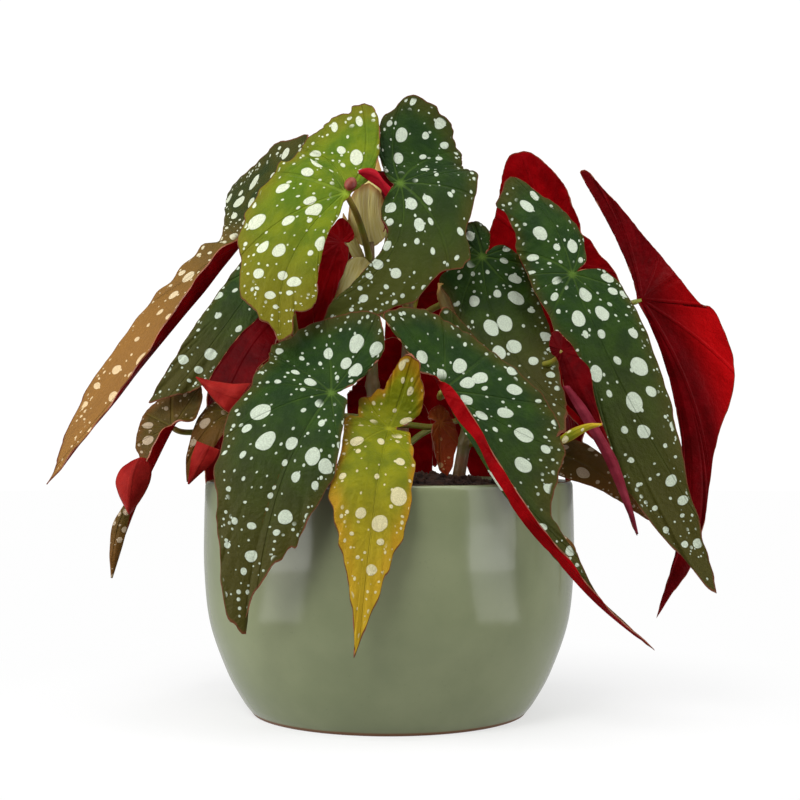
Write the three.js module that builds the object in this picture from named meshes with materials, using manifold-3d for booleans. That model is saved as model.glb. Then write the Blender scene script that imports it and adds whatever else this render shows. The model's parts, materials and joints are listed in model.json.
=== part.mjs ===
// Polka dot begonia in a round glazed pot. Millimetres, +Z up, the origin on the
// surface it stands on, under the pot's axis. -Y is the side that faces the viewer.
import * as THREE from "three";
import { ParametricGeometry } from "three/addons/geometries/ParametricGeometry.js";
import { mergeGeometries, mergeVertices } from "three/addons/utils/BufferGeometryUtils.js";
import Module from "manifold-3d";

const wasm = await Module();
wasm.setup();

// Pot and soil
const potHeight = 106;
const potWidth = 170;
const footWidth = 126;
const rimWidth = 169;
const widestAt = 66; // height of the belly
const wall = 5;
const floorThickness = 7;
const soilEdge = 99; // height of the soil at the wall
const soilCrown = 109; // height of the soil round the canes
const crownRings = [0.97, 0.86, 0.7, 0.52, 0.34, 0.17]; // as parts of the soil's radius
const soilLumps = 0.8; // depth
const lumpWave = 0.3; // radians a millimetre
const floorCorner = 4; // width of the slope between floor and wall

// Fits and plant tissue
const gap = 0.3; // between pieces that touch
const bladeThickness = 0.8;
const stalkRadius = 1.5;
const caneRadius = 3.4;
const jointSwell = 0.9; // how far a cane swells at a joint
const jointPitch = 26;
const caneTaper = 0.35;
const caneFoot = 72; // height of the canes' lower ends, in the soil
const lobeRun = 0.45; // how far the rib's direction carries into the lobe behind the root
const foldStart = [-0.4, 0.12]; // the stretch of rib on which a fold opens
const leastCurl = 0.01; // degrees
const stalkOut = 0.24; // how a stalk leaves its cane and meets its blade, as parts of its length
const stalkUp = 0.3;
const stalkArrival = 0.35;

// Mesh fineness
const potSides = 40;
const potRows = 9;
const tension = 0.5;
const probeAlong = 0.01; // steps for the slope of a blade
const probeAcross = 0.6;
const mergeDistance = 1e-3;
const caneSides = 8;
const caneSteps = 12;
const stalkSides = 5;
const stalkSteps = 6;
const leafCells = 4; // across a row
const sheathCells = 2;

// Rows across a blade, from the lobe's end to the tip. Each pair says where the row
// meets the wide and the narrow edge, counted in anchors of the outline.
const leafRows = [
  [0, 0],
  [0.3, 0.3],
  [0.65, 0.65],
  [1, 1],
  [1.5, 1.5],
  [2, 2],
  [2.33, 3],
  [2.66, 4],
  [3, 5],
  [3.5, 5.5],
  [4, 6],
  [4.5, 6.5],
  [5, 7],
  [5.5, 7.5],
  [6, 8],
];
const sheathRows = [0, 0.5, 1, 1.5, 2, 2.5, 3, 3.5, 4].map((at) => [at, at]);

const { degToRad: degrees, clamp, lerp, smoothstep } = THREE.MathUtils;
const vec = (list) => new THREE.Vector3(...list);

// Canes: foot and head of each, in the order [x, y, z]
const canes = {
  middle: { foot: [-6, 0, caneFoot], head: [-9, -2, 216] },
  right: { foot: [26, -4, caneFoot], head: [44, -2, 176] },
  left: { foot: [-30, 0, caneFoot], head: [-42, 2, 168] },
  rear: { foot: [4, 28, caneFoot], head: [10, 38, 196] },
};

// Leaves. root is where the stalk meets the blade, tip the point, mid lies halfway
// between them on the rib, and back is the end of the great lobe behind the root.
// face and tipFace aim the upper side: turned from the viewer to the right, then up.
// wide and narrow are the half widths of the two sides, measured on the lobe at 0.7
// and 0.2 of its length, then on the blade at 0.25, 0.6 and 0.85. The narrow side's
// notch at the root is notch deep. hand is 1 if the wide side is the viewer's left
// on a hanging leaf. fold raises each half at the rib, tipFold does so at the tip,
// and curl bends each half on to the margin: wide side first, in degrees. reach is
// where the stalk comes from at the root, when that isn't straight behind the blade.
// lobeMid is a halfway point that the rib of a bent lobe passes. fusedTo names the
// leaf that a leaf is one piece with, because its stalk runs through that blade.
const leaves = [
  {
    name: "leaf_lime", cane: "middle", joint: 207, hand: 1,
    root: [-19, -42, 232], mid: [-42, -56, 200], tip: [-45, -66, 166], back: [-12, -28, 276],
    face: [-12, 12], tipFace: [-5, 25],
    wide: [29, 33, 31, 20, 11], narrow: [8, 6, 10, 16, 12], notch: 4, fold: [6, 4], curl: [-18, -15],
  },
  {
    name: "leaf_upper", cane: "middle", joint: 178, hand: -1,
    root: [5, -32, 238], mid: [3, -44, 202], tip: [-29, -46, 175], back: [12, -20, 280],
    face: [10, 8], tipFace: [0, 20],
    wide: [27, 33, 32, 22, 12], narrow: [8, 9, 8, 9, 5], notch: 5, fold: [4, 0], curl: [-18, -15],
  },
  {
    name: "leaf_front_left", cane: "left", joint: 140, hand: 1,
    root: [-24, -72, 144], mid: [-47, -88, 102], tip: [-58, -88, 46], back: [-6, -62, 178],
    face: [-14, 18], tipFace: [-20, 5],
    wide: [21, 31, 32, 23, 15], narrow: [9, 8, 17, 17, 6], notch: 6, fold: [8, 6], curl: [-20, -18],
  },
  {
    name: "leaf_front_right", cane: "right", joint: 140, hand: -1,
    root: [22, -68, 145], mid: [59.5, -82, 85.5], tip: [110, -70, 37], back: [-2, -60, 179],
    face: [10, 24], tipFace: [20, 5],
    wide: [19, 35, 36, 7, 4], narrow: [8, 8, 9, 9, 5], notch: 3, fold: [4, 150], curl: [-18, 0],
    tipFold: [4, 90],
  },
  {
    name: "leaf_under_right", cane: "right", joint: 132, hand: -1,
    root: [36, -50, 151], mid: [54, -61, 133], tip: [68, -64, 110], back: [24, -50, 182],
    face: [15, 12], tipFace: [20, 5],
    wide: [10, 16, 14, 8, 5], narrow: [6, 6, 9, 6, 3], notch: 3, fold: [0, 0], curl: [-12, -10],
  },
  {
    name: "leaf_middle_right", cane: "right", joint: 172, hand: -1,
    root: [42, -20, 207], mid: [55, -34, 165], tip: [89, -64, 130], back: [39, -14, 224],
    face: [0, 15], tipFace: [15, 20],
    wide: [6, 13, 24, 16, 6], narrow: [5, 8, 20, 16, 8], notch: 3, fold: [4, 4], curl: [-18, -18],
  },
  {
    name: "leaf_right", cane: "right", joint: 160, hand: 1,
    root: [81, -30, 198], mid: [104, -43, 128], tip: [142, -44, 58], back: [52, -17, 241],
    face: [14, 10], tipFace: [12, 0],
    wide: [12, 16, 15, 8, 5], narrow: [11, 13, 25, 20, 10], notch: 6, fold: [2, 6], curl: [-24, -15],
  },
  {
    name: "leaf_rear_right", cane: "right", joint: 172, hand: 1,
    root: [78, 6, 208], mid: [97, 4, 152], tip: [115, 2, 111], back: [61, 2, 259],
    face: [165, 10], tipFace: [165, 0],
    wide: [10, 18, 24, 16, 8], narrow: [18, 30, 34, 18, 8], notch: 4, fold: [0, 0], curl: [-18, -18],
  },
  {
    name: "leaf_far_right", cane: "rear", joint: 178, hand: 1,
    root: [120, 16, 191], mid: [144, 14, 113], tip: [125, 6, 41], back: [91, 22, 253],
    face: [175, 5], tipFace: [180, 0],
    wide: [10.5, 16, 27, 8, 5.5], narrow: [1, 1, 2, 3, 4], notch: 1.5, fold: [0, 20], curl: [-10, 0],
    lobeMid: [109.5, 19, 221], reach: [-0.9, 0.3, -0.3],
  },
  {
    name: "leaf_far_left", cane: "left", joint: 162, hand: 1,
    root: [-67, -8, 215], mid: [-108, -20, 161], tip: [-153, -26, 104], back: [-37, 0, 266],
    face: [-40, 35], tipFace: [-30, 20],
    wide: [38, 34, 19, 21, 11], narrow: [8, 12, 15, 7, 5], notch: 5, fold: [10, 80],
    tipFold: [0, 30], curl: [-15, 0],
  },
  {
    name: "leaf_left", cane: "left", joint: 152, hand: 1,
    root: [-54, -24, 204], mid: [-78, -32, 171], tip: [-106, -34, 141], back: [-48, -18, 222],
    face: [-10, 25], tipFace: [-10, 10],
    wide: [8, 11, 12, 8, 4], narrow: [8, 10, 22, 16, 8], notch: 4, fold: [0, 0], curl: [-12, -12],
  },
  {
    name: "leaf_low_left", cane: "left", joint: 122, hand: 1,
    root: [-95, -34, 130], mid: [-107, -42, 102], tip: [-121, -40, 65], back: [-84, -30, 149],
    face: [-10, 20], tipFace: [-20, 0],
    wide: [10, 16, 12, 6, 4], narrow: [6, 6, 8, 14, 3], notch: 3, fold: [0, 100],
    tipFold: [0, 100], curl: [-12, 0],
  },
  {
    name: "leaf_folded_left", cane: "left", joint: 146, hand: -1,
    root: [-42, -38, 186], mid: [-59, -46, 163], tip: [-68, -56, 136], back: [-37, -32, 197],
    face: [175, -10], tipFace: [170, -40],
    wide: [5, 7, 9, 14, 8], narrow: [5, 6, 7, 8, 5], notch: 3, fold: [0, 0], curl: [-8, -8],
  },
  {
    name: "leaf_small_left", cane: "left", joint: 128, hand: 1,
    root: [-68, -28, 137], mid: [-80, -34, 127], tip: [-89, -34, 106], back: [-62, -23, 147],
    face: [-10, 30], tipFace: [-10, 0],
    wide: [7, 10, 10, 6, 3], narrow: [4, 5, 6, 6, 3], notch: 3, fold: [0, 20], curl: [-15, -30],
  },
  {
    name: "leaf_front", cane: "middle", joint: 118, hand: 1,
    root: [0, -70, 129], mid: [-7, -92, 97], tip: [-14, -94, 38], back: [9, -79, 160],
    face: [0, 25], tipFace: [0, 5],
    wide: [8, 16, 16, 12, 4], narrow: [8, 11, 12, 13, 5], notch: 6, fold: [8, 8], curl: [-14, -14],
  },
  {
    name: "leaf_inner_front", cane: "middle", joint: 124, hand: -1,
    root: [22, -40, 132], mid: [23, -46, 120], tip: [25, -48, 109], back: [22, -38, 140],
    face: [10, 20], tipFace: [0, 0],
    wide: [4, 6, 8, 5, 3], narrow: [4, 5, 5, 4, 3], notch: 2, fold: [0, 30], curl: [-15, 0],
  },
  {
    name: "leaf_low_right", cane: "right", joint: 120, hand: 1,
    root: [70, -24, 120], mid: [93, -30, 110], tip: [115, -30, 89], back: [65, -18, 127],
    face: [-10, 35], tipFace: [0, 20],
    wide: [6, 8, 10, 6, 3], narrow: [6, 6, 10, 7, 4], notch: 2, fold: [0, 0], curl: [-12, -12],
  },
  {
    name: "leaf_folded_right", cane: "right", joint: 148, hand: -1, fusedTo: "leaf_middle_right",
    root: [74, -53, 163], mid: [88, -57, 131], tip: [105, -58, 84], back: [71, -49, 171],
    face: [150, -5], tipFace: [120, 0],
    wide: [4, 7, 9, 4, 2], narrow: [2, 3, 5, 3, 2], notch: 2, fold: [10, 45], curl: [0, 0],
    reach: [-0.6, 0.6, -0.2],
  },
  {
    name: "leaf_inner_left", cane: "left", joint: 160, hand: -1,
    root: [-22, -14, 214], mid: [-27, -22, 196], tip: [-33, -26, 172], back: [-22, -10, 226],
    face: [170, -10], tipFace: [170, 0],
    wide: [4, 5, 6, 5, 3], narrow: [4, 5, 6, 5, 3], notch: 2, fold: [0, 0], curl: [-15, -15],
  },
  {
    name: "leaf_rear_high", cane: "rear", joint: 176, hand: 1,
    root: [14, 64, 198], mid: [18, 90, 158], tip: [25, 104, 110], back: [8, 48, 224],
    face: [178, 20], tipFace: [178, 0],
    wide: [16, 26, 28, 20, 11], narrow: [10, 10, 18, 17, 9], notch: 5, fold: [6, 4], curl: [-18, -15],
  },
  {
    name: "leaf_rear_high_left", cane: "rear", joint: 174, hand: -1,
    root: [-36, 52, 206], mid: [-58, 74, 164], tip: [-70, 84, 112], back: [-18, 36, 230],
    face: [-145, 20], tipFace: [-150, 0],
    wide: [14, 24, 26, 18, 10], narrow: [10, 9, 16, 15, 8], notch: 5, fold: [6, 4], curl: [-18, -15],
  },
  {
    name: "leaf_rear_high_right", cane: "rear", joint: 168, hand: 1,
    root: [58, 50, 200], mid: [80, 68, 158], tip: [94, 76, 108], back: [42, 38, 224],
    face: [145, 20], tipFace: [150, 0],
    wide: [14, 23, 25, 17, 9], narrow: [10, 9, 16, 15, 8], notch: 5, fold: [6, 4], curl: [-18, -15],
  },
  {
    name: "leaf_rear_low", cane: "rear", joint: 136, hand: -1,
    root: [6, 74, 148], mid: [6, 96, 106], tip: [10, 100, 52], back: [0, 58, 176],
    face: [180, 20], tipFace: [180, 0],
    wide: [16, 26, 27, 19, 10], narrow: [10, 9, 17, 16, 8], notch: 5, fold: [6, 4], curl: [-18, -15],
  },
  {
    name: "leaf_rear_low_left", cane: "rear", joint: 124, hand: 1,
    root: [-48, 62, 140], mid: [-62, 82, 98], tip: [-68, 86, 48], back: [-34, 46, 166],
    face: [-150, 20], tipFace: [-155, 0],
    wide: [13, 22, 22, 15, 8], narrow: [9, 8, 14, 13, 7], notch: 4, fold: [6, 4], curl: [-18, -15],
  },
  {
    name: "leaf_rear_low_right", cane: "rear", joint: 118, hand: -1,
    root: [52, 64, 140], mid: [62, 84, 98], tip: [64, 86, 50], back: [38, 48, 166],
    face: [150, 20], tipFace: [160, 0],
    wide: [13, 22, 22, 15, 8], narrow: [9, 8, 14, 13, 7], notch: 4, fold: [6, 4], curl: [-18, -15],
  },
  {
    name: "leaf_side_left", cane: "left", joint: 134, hand: -1,
    root: [-74, 26, 166], mid: [-84, 38, 126], tip: [-84, 42, 84], back: [-62, 18, 190],
    face: [-110, 20], tipFace: [-110, 0],
    wide: [12, 20, 20, 14, 8], narrow: [8, 8, 14, 13, 7], notch: 4, fold: [6, 4], curl: [-18, -15],
  },
  {
    name: "leaf_side_right", cane: "right", joint: 126, hand: 1,
    root: [80, 30, 160], mid: [89, 40, 130], tip: [86, 42, 102], back: [70, 22, 180],
    face: [105, 20], tipFace: [110, 0],
    wide: [12, 18, 18, 13, 7], narrow: [8, 8, 12, 10, 5], notch: 4, fold: [6, 4], curl: [-18, -15],
  },
  {
    name: "leaf_crown", cane: "rear", joint: 188, hand: 1,
    root: [0, 30, 243], mid: [4, 48, 237], tip: [8, 66, 219], back: [-4, 12, 249],
    face: [178, 65], tipFace: [178, 35],
    wide: [14, 24, 24, 16, 9], narrow: [9, 9, 15, 14, 7], notch: 4, fold: [6, 4], curl: [-18, -15],
  },
];

// Blades with no stalk of their own at the growing end: young leaf, bud and the
// papery stipules. They sit on the cane, and each is an even, pointed oval.
const sheaths = [
  {
    name: "stipule_tall", cane: "middle", root: [-8, -2, 214], mid: [-10, -5, 231], tip: [-9, -4, 243],
    face: [0, 0], tipFace: [0, 10], wide: [5, 8, 6], narrow: [5, 8, 6], fold: [20, 20], curl: [-70, -70],
  },
  {
    name: "stipule_rear", cane: "middle", root: [-9, 0, 214], mid: [-9, 5, 236], tip: [-5, 5, 256],
    face: [0, 0], tipFace: [0, 0], wide: [3, 5, 4], narrow: [3, 5, 4], fold: [10, 10], curl: [-50, -50],
  },
  {
    name: "stipule_side", cane: "middle", root: [-10, -1, 204], mid: [-17, -4, 215], tip: [-21, -6, 229],
    face: [-20, 0], tipFace: [-20, 0], wide: [2, 3, 2], narrow: [2, 3, 2], fold: [10, 10], curl: [-40, -40],
  },
  {
    name: "stipule_hanging", cane: "middle", root: [-9, -3, 207], mid: [-14, -14, 196], tip: [-21, -25, 176],
    face: [10, 10], tipFace: [0, 20], wide: [4, 7, 5], narrow: [4, 7, 5], fold: [10, 10], curl: [-50, -50],
  },
  {
    name: "stipule_right", cane: "right", root: [40, -3, 158], mid: [30, -15, 182], tip: [22, -22, 195],
    face: [0, 20], tipFace: [0, 10], wide: [3, 5, 4], narrow: [3, 5, 4], fold: [10, 10], curl: [-40, -40],
  },
  {
    name: "leaf_young", cane: "middle", root: [-5.7, -1.2, 215.2], mid: [3, -10, 241], tip: [-17, -19, 243],
    face: [60, -40], tipFace: [0, -60], wide: [2, 4, 5], narrow: [2, 4, 4], fold: [20, 20], curl: [10, 10],
  },
];

// The wing-shaped outline round the root: distance along the rib, as a part of the
// blade or of the lobe behind the root, then distance across it.
function wingOutline({ wide, narrow, notch }) {
  return [
    [1, 0],
    [0.85, wide[4]],
    [0.6, wide[3]],
    [0.25, wide[2]],
    [-0.2, wide[1]],
    [-0.7, wide[0]],
    [-1, 0],
    [-0.7, -narrow[0]],
    [-0.22, -narrow[1]],
    [-0.02, -notch],
    [0.08, -0.8 * narrow[2]],
    [0.25, -narrow[2]],
    [0.6, -narrow[3]],
    [0.85, -narrow[4]],
    [1, 0],
  ];
}

// An even pointed oval that starts at the root.
function ovalOutline({ wide, narrow }) {
  return [
    [1, 0],
    [0.8, wide[2]],
    [0.45, wide[1]],
    [0.15, wide[0]],
    [0, 0],
    [0.15, -narrow[0]],
    [0.45, -narrow[1]],
    [0.8, -narrow[2]],
    [1, 0],
  ];
}

function aim([turn, rise]) {
  const [t, r] = [degrees(turn), degrees(rise)];
  return new THREE.Vector3(Math.sin(t) * Math.cos(r), -Math.cos(t) * Math.cos(r), Math.sin(r));
}

// The control point of a curve from start to end whose halfway point is mid.
function bendThrough(start, mid, end) {
  return mid.clone().multiplyScalar(2).addScaledVector(start, -0.5).addScaledVector(end, -0.5);
}

// The blade as a surface: place(along, across, target).
function bladeSurface(leaf) {
  const [root, mid, tip, back] = [leaf.root, leaf.mid, leaf.tip, leaf.back ?? leaf.root].map(vec);
  const rib = new THREE.QuadraticBezierCurve3(root, bendThrough(root, mid, tip), tip);
  const lobeBend = leaf.lobeMid
    ? bendThrough(root, vec(leaf.lobeMid), back)
    : root.clone().addScaledVector(rib.getTangent(0), -lobeRun * root.distanceTo(back));
  const lobeRib = new THREE.QuadraticBezierCurve3(root, lobeBend, back);
  const [rootFace, tipFace] = [aim(leaf.face), aim(leaf.tipFace)];
  const tipFold = leaf.tipFold ?? leaf.fold;

  return function place(along, across, target) {
    const onLobe = along < 0;
    const curve = onLobe ? lobeRib : rib;
    const t = clamp(Math.abs(along), 0, 1);
    const toTip = Math.max(along, 0);
    const tangent = curve.getTangent(t).multiplyScalar(onLobe ? -1 : 1);
    const up = rootFace.clone().lerp(tipFace, toTip);
    up.addScaledVector(tangent, -up.dot(tangent)).normalize();
    const side = new THREE.Vector3().crossVectors(tangent, up).multiplyScalar(leaf.hand);
    const half = across >= 0 ? 0 : 1;
    const width = Math.max(...(half ? leaf.narrow : leaf.wide));
    const fold = degrees(lerp(leaf.fold[half], tipFold[half], toTip)) * smoothstep(along, ...foldStart);
    const bendRate = degrees(leaf.curl[half] || leastCurl) / width;
    const reach = Math.abs(across);
    const out = (Math.sin(fold + bendRate * reach) - Math.sin(fold)) / bendRate;
    const lift = (Math.cos(fold) - Math.cos(fold + bendRate * reach)) / bendRate;
    curve.getPoint(t, target);
    target.addScaledVector(side, half ? -out : out);
    return target.addScaledVector(up, lift);
  };
}

// Turns a geometry's triangles over.
function turned(geometry) {
  const index = geometry.index.array;
  for (let i = 0; i < index.length; i += 3) [index[i], index[i + 1]] = [index[i + 1], index[i]];
  return geometry;
}

// Joins geometries that close one body, without the triangles that shrink to a line.
function closedSolid(geometries) {
  const joined = mergeGeometries(geometries);
  const bare = new THREE.BufferGeometry();
  bare.setAttribute("position", joined.attributes.position);
  bare.setIndex(joined.index);
  const merged = mergeVertices(bare, mergeDistance);
  const index = merged.index.array;
  const kept = [];
  for (let i = 0; i < index.length; i += 3) {
    const [a, b, c] = index.subarray(i, i + 3);
    if (a !== b && b !== c && c !== a) kept.push(a, b, c);
  }
  const vertProperties = merged.attributes.position.array;
  return new wasm.Manifold(new wasm.Mesh({ numProp: 3, vertProperties, triVerts: new Uint32Array(kept) }));
}

// The same, facing outward whichever way its faces were wound.
function outwardSolid(...geometries) {
  const solid = closedSolid(geometries);
  return solid.volume() > 0 ? solid : closedSolid(geometries.map(turned));
}

function geometryOf(solid) {
  const mesh = solid.getMesh();
  const geometry = new THREE.BufferGeometry();
  geometry.setAttribute("position", new THREE.BufferAttribute(mesh.vertProperties, 3));
  geometry.setIndex(new THREE.BufferAttribute(mesh.triVerts, 1));
  return geometry;
}

// Upper face, lower face and rims of one blade, all split alike. Each row runs from the
// narrow edge over the rib to the wide edge.
function bladeSolid(blade, outline, rows, cells) {
  const place = bladeSurface(blade);
  const anchors = outline.map(([along, across]) => new THREE.Vector3(along, across, 0));
  const margin = new THREE.CatmullRomCurve3(anchors, false, "catmullrom", tension);
  const spans = anchors.length - 1;
  const lobeEnd = rows.at(-1)[0];
  const rowEnds = rows.map(([wideAt, narrowAt]) => ({
    wide: margin.getPoint((lobeEnd - wideAt) / spans),
    narrow: margin.getPoint((lobeEnd + narrowAt) / spans),
  }));
  const [ahead, behind, left, right] = Array.from({ length: 4 }, () => new THREE.Vector3());
  const last = rows.length - 1;
  // part runs along the rows, side from -1 at the narrow edge to 1 at the wide edge
  const shifted = (part, side, shift, target) => {
    const { wide, narrow } = rowEnds[Math.round(part * last)];
    const edge = side > 0 ? wide : narrow;
    const along = lerp((wide.x + narrow.x) / 2, edge.x, Math.abs(side));
    const across = edge.y * Math.abs(side);
    place(along, across, target);
    place(along + probeAlong, across, ahead);
    place(along - probeAlong, across, behind);
    place(along, across + probeAcross, left);
    place(along, across - probeAcross, right);
    const normal = ahead.sub(behind).cross(left.sub(right)).normalize();
    return target.addScaledVector(normal, shift * blade.hand);
  };
  const half = bladeThickness / 2;
  const face = (shift) => new ParametricGeometry((u, v, p) => shifted(v, 2 * u - 1, shift, p), cells, last);
  const rim = (side) =>
    new ParametricGeometry((u, v, p) => shifted(u, side, half - v * bladeThickness, p), last, 1);
  return outwardSolid(face(half), turned(face(-half)), rim(-1), turned(rim(1)));
}

// The leaf stalk, from the middle of its cane to the root of the blade.
function stalkCurve(leaf) {
  const { foot, head } = canes[leaf.cane];
  const start = vec(foot).lerp(vec(head), (leaf.joint - foot[2]) / (head[2] - foot[2]));
  const root = vec(leaf.root);
  const span = start.distanceTo(root);
  const outward = root.clone().sub(start).setZ(0).normalize();
  const leave = outward.multiplyScalar(stalkOut).setZ(stalkUp).multiplyScalar(span);
  const arrive = (leaf.reach ? vec(leaf.reach) : aim(leaf.face).negate()).multiplyScalar(stalkArrival * span);
  return new THREE.CubicBezierCurve3(start, start.clone().add(leave), root.clone().add(arrive), root);
}

function stalkSolid(leaf) {
  const section = new THREE.Shape();
  for (let i = 0; i < stalkSides; i++) {
    const angle = (i / stalkSides) * 2 * Math.PI;
    const corner = [stalkRadius * Math.cos(angle), stalkRadius * Math.sin(angle)];
    if (i) section.lineTo(...corner);
    else section.moveTo(...corner);
  }
  const extrusion = new THREE.ExtrudeGeometry(section, { steps: stalkSteps, extrudePath: stalkCurve(leaf) });
  extrusion.deleteAttribute("uv").deleteAttribute("normal");
  return outwardSolid(mergeVertices(extrusion, mergeDistance));
}

// A jointed cane, grown by extra all over.
function caneSolid({ foot, head }, extra = 0) {
  const [low, high] = [vec(foot), vec(head)];
  const axis = high.clone().sub(low).normalize();
  low.addScaledVector(axis, -extra);
  high.addScaledVector(axis, extra);
  const around = new THREE.Vector3(1, 0, 0).cross(axis).normalize();
  const across = new THREE.Vector3().crossVectors(axis, around);
  const length = low.distanceTo(high);
  const rows = caneSteps + 2;
  const surface = (u, v, p) => {
    const step = Math.round(v * rows) - 1;
    const t = clamp(step / caneSteps, 0, 1);
    const capped = step < 0 || step > caneSteps;
    const swell = jointSwell * Math.max(0, Math.cos((t * length * 2 * Math.PI) / jointPitch)) ** 3;
    const radius = capped ? 0 : (caneRadius + swell) * (1 - caneTaper * t) + extra;
    const angle = u * 2 * Math.PI;
    p.copy(low).addScaledVector(axis, t * length);
    p.addScaledVector(around, radius * Math.cos(angle)).addScaledVector(across, radius * Math.sin(angle));
  };
  return outwardSolid(new ParametricGeometry(surface, caneSides, rows));
}

// The pot's outside, from the foot up to the lip, as radius and height.
function potOutline() {
  const [foot, belly, rim] = [footWidth / 2, potWidth / 2, rimWidth / 2];
  const anchors = [
    [foot, 0],
    [foot + 4.8, 6.5],
    [foot + 12, 20],
    [foot + 19.5, 42],
    [belly, widestAt],
    [belly, 88],
    [rim, potHeight - 2],
  ].map(([r, z]) => new THREE.Vector3(r, z, 0));
  const curve = new THREE.CatmullRomCurve3(anchors, false, "catmullrom", tension);
  return curve.getPoints(potRows).map((p) => [p.x, p.y]);
}

// A profile of [radius, height] turned round the upright axis.
function lathed(profile) {
  const points = profile.map(([r, z]) => new THREE.Vector2(r, z));
  return new THREE.LatheGeometry(points, potSides).rotateX(Math.PI / 2);
}

function potSolid() {
  const outside = potOutline();
  const inside = outside.filter(([, z]) => z > floorThickness).map(([r, z]) => [r - wall, z]);
  const lip = [
    [rimWidth / 2 - 0.8, potHeight - 0.4],
    [rimWidth / 2 - 2.4, potHeight],
    [rimWidth / 2 - wall + 0.6, potHeight - 0.6],
  ];
  const floor = [
    [inside[0][0] - floorCorner, floorThickness],
    [0, floorThickness],
  ];
  return outwardSolid(lathed([[0, 0], ...outside, ...lip, ...inside.reverse(), ...floor]));
}

// Soil from the pot's floor to a low, lumpy crown, with a hole for each cane.
function soilSolid() {
  const outside = potOutline().map(([r, z]) => [r - wall - gap, z]);
  const edge = outside.filter(([, z]) => z > floorThickness + gap && z < soilEdge);
  const rim = edge.at(-1)[0];
  const crown = crownRings.map((part) => [
    part * rim,
    soilEdge + (soilCrown - soilEdge) * Math.cos((part * Math.PI) / 2),
  ]);
  const base = floorThickness + gap;
  const bottom = [
    [0, base],
    [edge[0][0] - floorCorner, base],
  ];
  const geometry = lathed([...bottom, ...edge, [rim, soilEdge], ...crown, [0, soilCrown]]);
  const position = geometry.attributes.position;
  for (let i = 0; i < position.count; i++) {
    const [x, y, z] = [position.getX(i), position.getY(i), position.getZ(i)];
    const lump = soilLumps * Math.sin(lumpWave * x) * Math.cos(lumpWave * (y - 2 * x));
    if (z > soilEdge) position.setZ(i, z + lump);
  }
  return Object.values(caneHoles).reduce((soil, hole) => soil.subtract(hole), outwardSolid(geometry));
}

const caneNames = Object.keys(canes);
const caneHoles = Object.fromEntries(caneNames.map((name) => [name, caneSolid(canes[name], gap)]));
const solids = new Map();
solids.set("pot", potSolid());
solids.set("soil", soilSolid());
for (const name of caneNames) solids.set(`cane_${name}`, caneSolid(canes[name]));

for (const leaf of leaves) {
  const blade = bladeSolid(leaf, wingOutline(leaf), leafRows, leafCells);
  const solid = blade.add(stalkSolid(leaf)).subtract(caneHoles[leaf.cane]);
  if (leaf.fusedTo) solids.set(leaf.fusedTo, solids.get(leaf.fusedTo).add(solid));
  else solids.set(leaf.name, solid);
}

for (const sheath of sheaths) {
  const blade = bladeSolid({ ...sheath, hand: 1 }, ovalOutline(sheath), sheathRows, sheathCells);
  solids.set(sheath.name, blade.subtract(caneHoles[sheath.cane]));
}

const colours = { pot: 0x8c9a7c, soil: 0x3a221c, cane: 0x6e6a2c, leaf: 0x3a4a2c, stipule: 0xcfc090 };
const group = new THREE.Group();
for (const [name, solid] of solids) {
  const kind = name.split("_")[0];
  const roughness = kind === "pot" ? 0.2 : 0.6;
  const material = new THREE.MeshStandardMaterial({ color: colours[kind], roughness });
  const mesh = new THREE.Mesh(geometryOf(solid), material);
  mesh.name = name;
  group.add(mesh);
}

export default group;
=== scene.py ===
import json
from dataclasses import dataclass
from math import cos, pi, sin

import bmesh
import bpy
import numpy as np
from mathutils import Matrix, Vector, noise

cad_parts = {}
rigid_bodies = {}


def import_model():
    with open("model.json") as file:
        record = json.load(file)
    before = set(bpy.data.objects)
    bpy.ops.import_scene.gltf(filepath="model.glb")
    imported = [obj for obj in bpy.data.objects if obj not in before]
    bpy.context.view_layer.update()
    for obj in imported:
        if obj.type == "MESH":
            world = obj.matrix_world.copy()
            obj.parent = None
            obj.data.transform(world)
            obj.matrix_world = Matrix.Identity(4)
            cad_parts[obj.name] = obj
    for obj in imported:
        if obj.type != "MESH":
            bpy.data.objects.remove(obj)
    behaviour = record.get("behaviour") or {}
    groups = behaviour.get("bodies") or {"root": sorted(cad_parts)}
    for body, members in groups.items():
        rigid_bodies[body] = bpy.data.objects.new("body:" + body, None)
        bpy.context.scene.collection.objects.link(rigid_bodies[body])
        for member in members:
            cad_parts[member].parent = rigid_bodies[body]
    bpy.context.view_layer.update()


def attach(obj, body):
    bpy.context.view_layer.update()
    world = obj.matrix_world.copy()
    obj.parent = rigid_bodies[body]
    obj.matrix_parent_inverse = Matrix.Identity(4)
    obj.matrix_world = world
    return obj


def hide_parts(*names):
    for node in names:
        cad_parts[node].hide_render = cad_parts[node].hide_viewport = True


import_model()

MM = 0.001
MERGE = 1e-6  # vertices closer than this become one

# Camera: the photograph's distance, eye height and lens
CAMERA_DISTANCE = 0.670
CAMERA_HEIGHT = 0.125
CAMERA_LENS = 65.0
CAMERA_SENSOR = 36.0
CAMERA_SHIFT = (0.01375, 0.04875)

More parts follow.
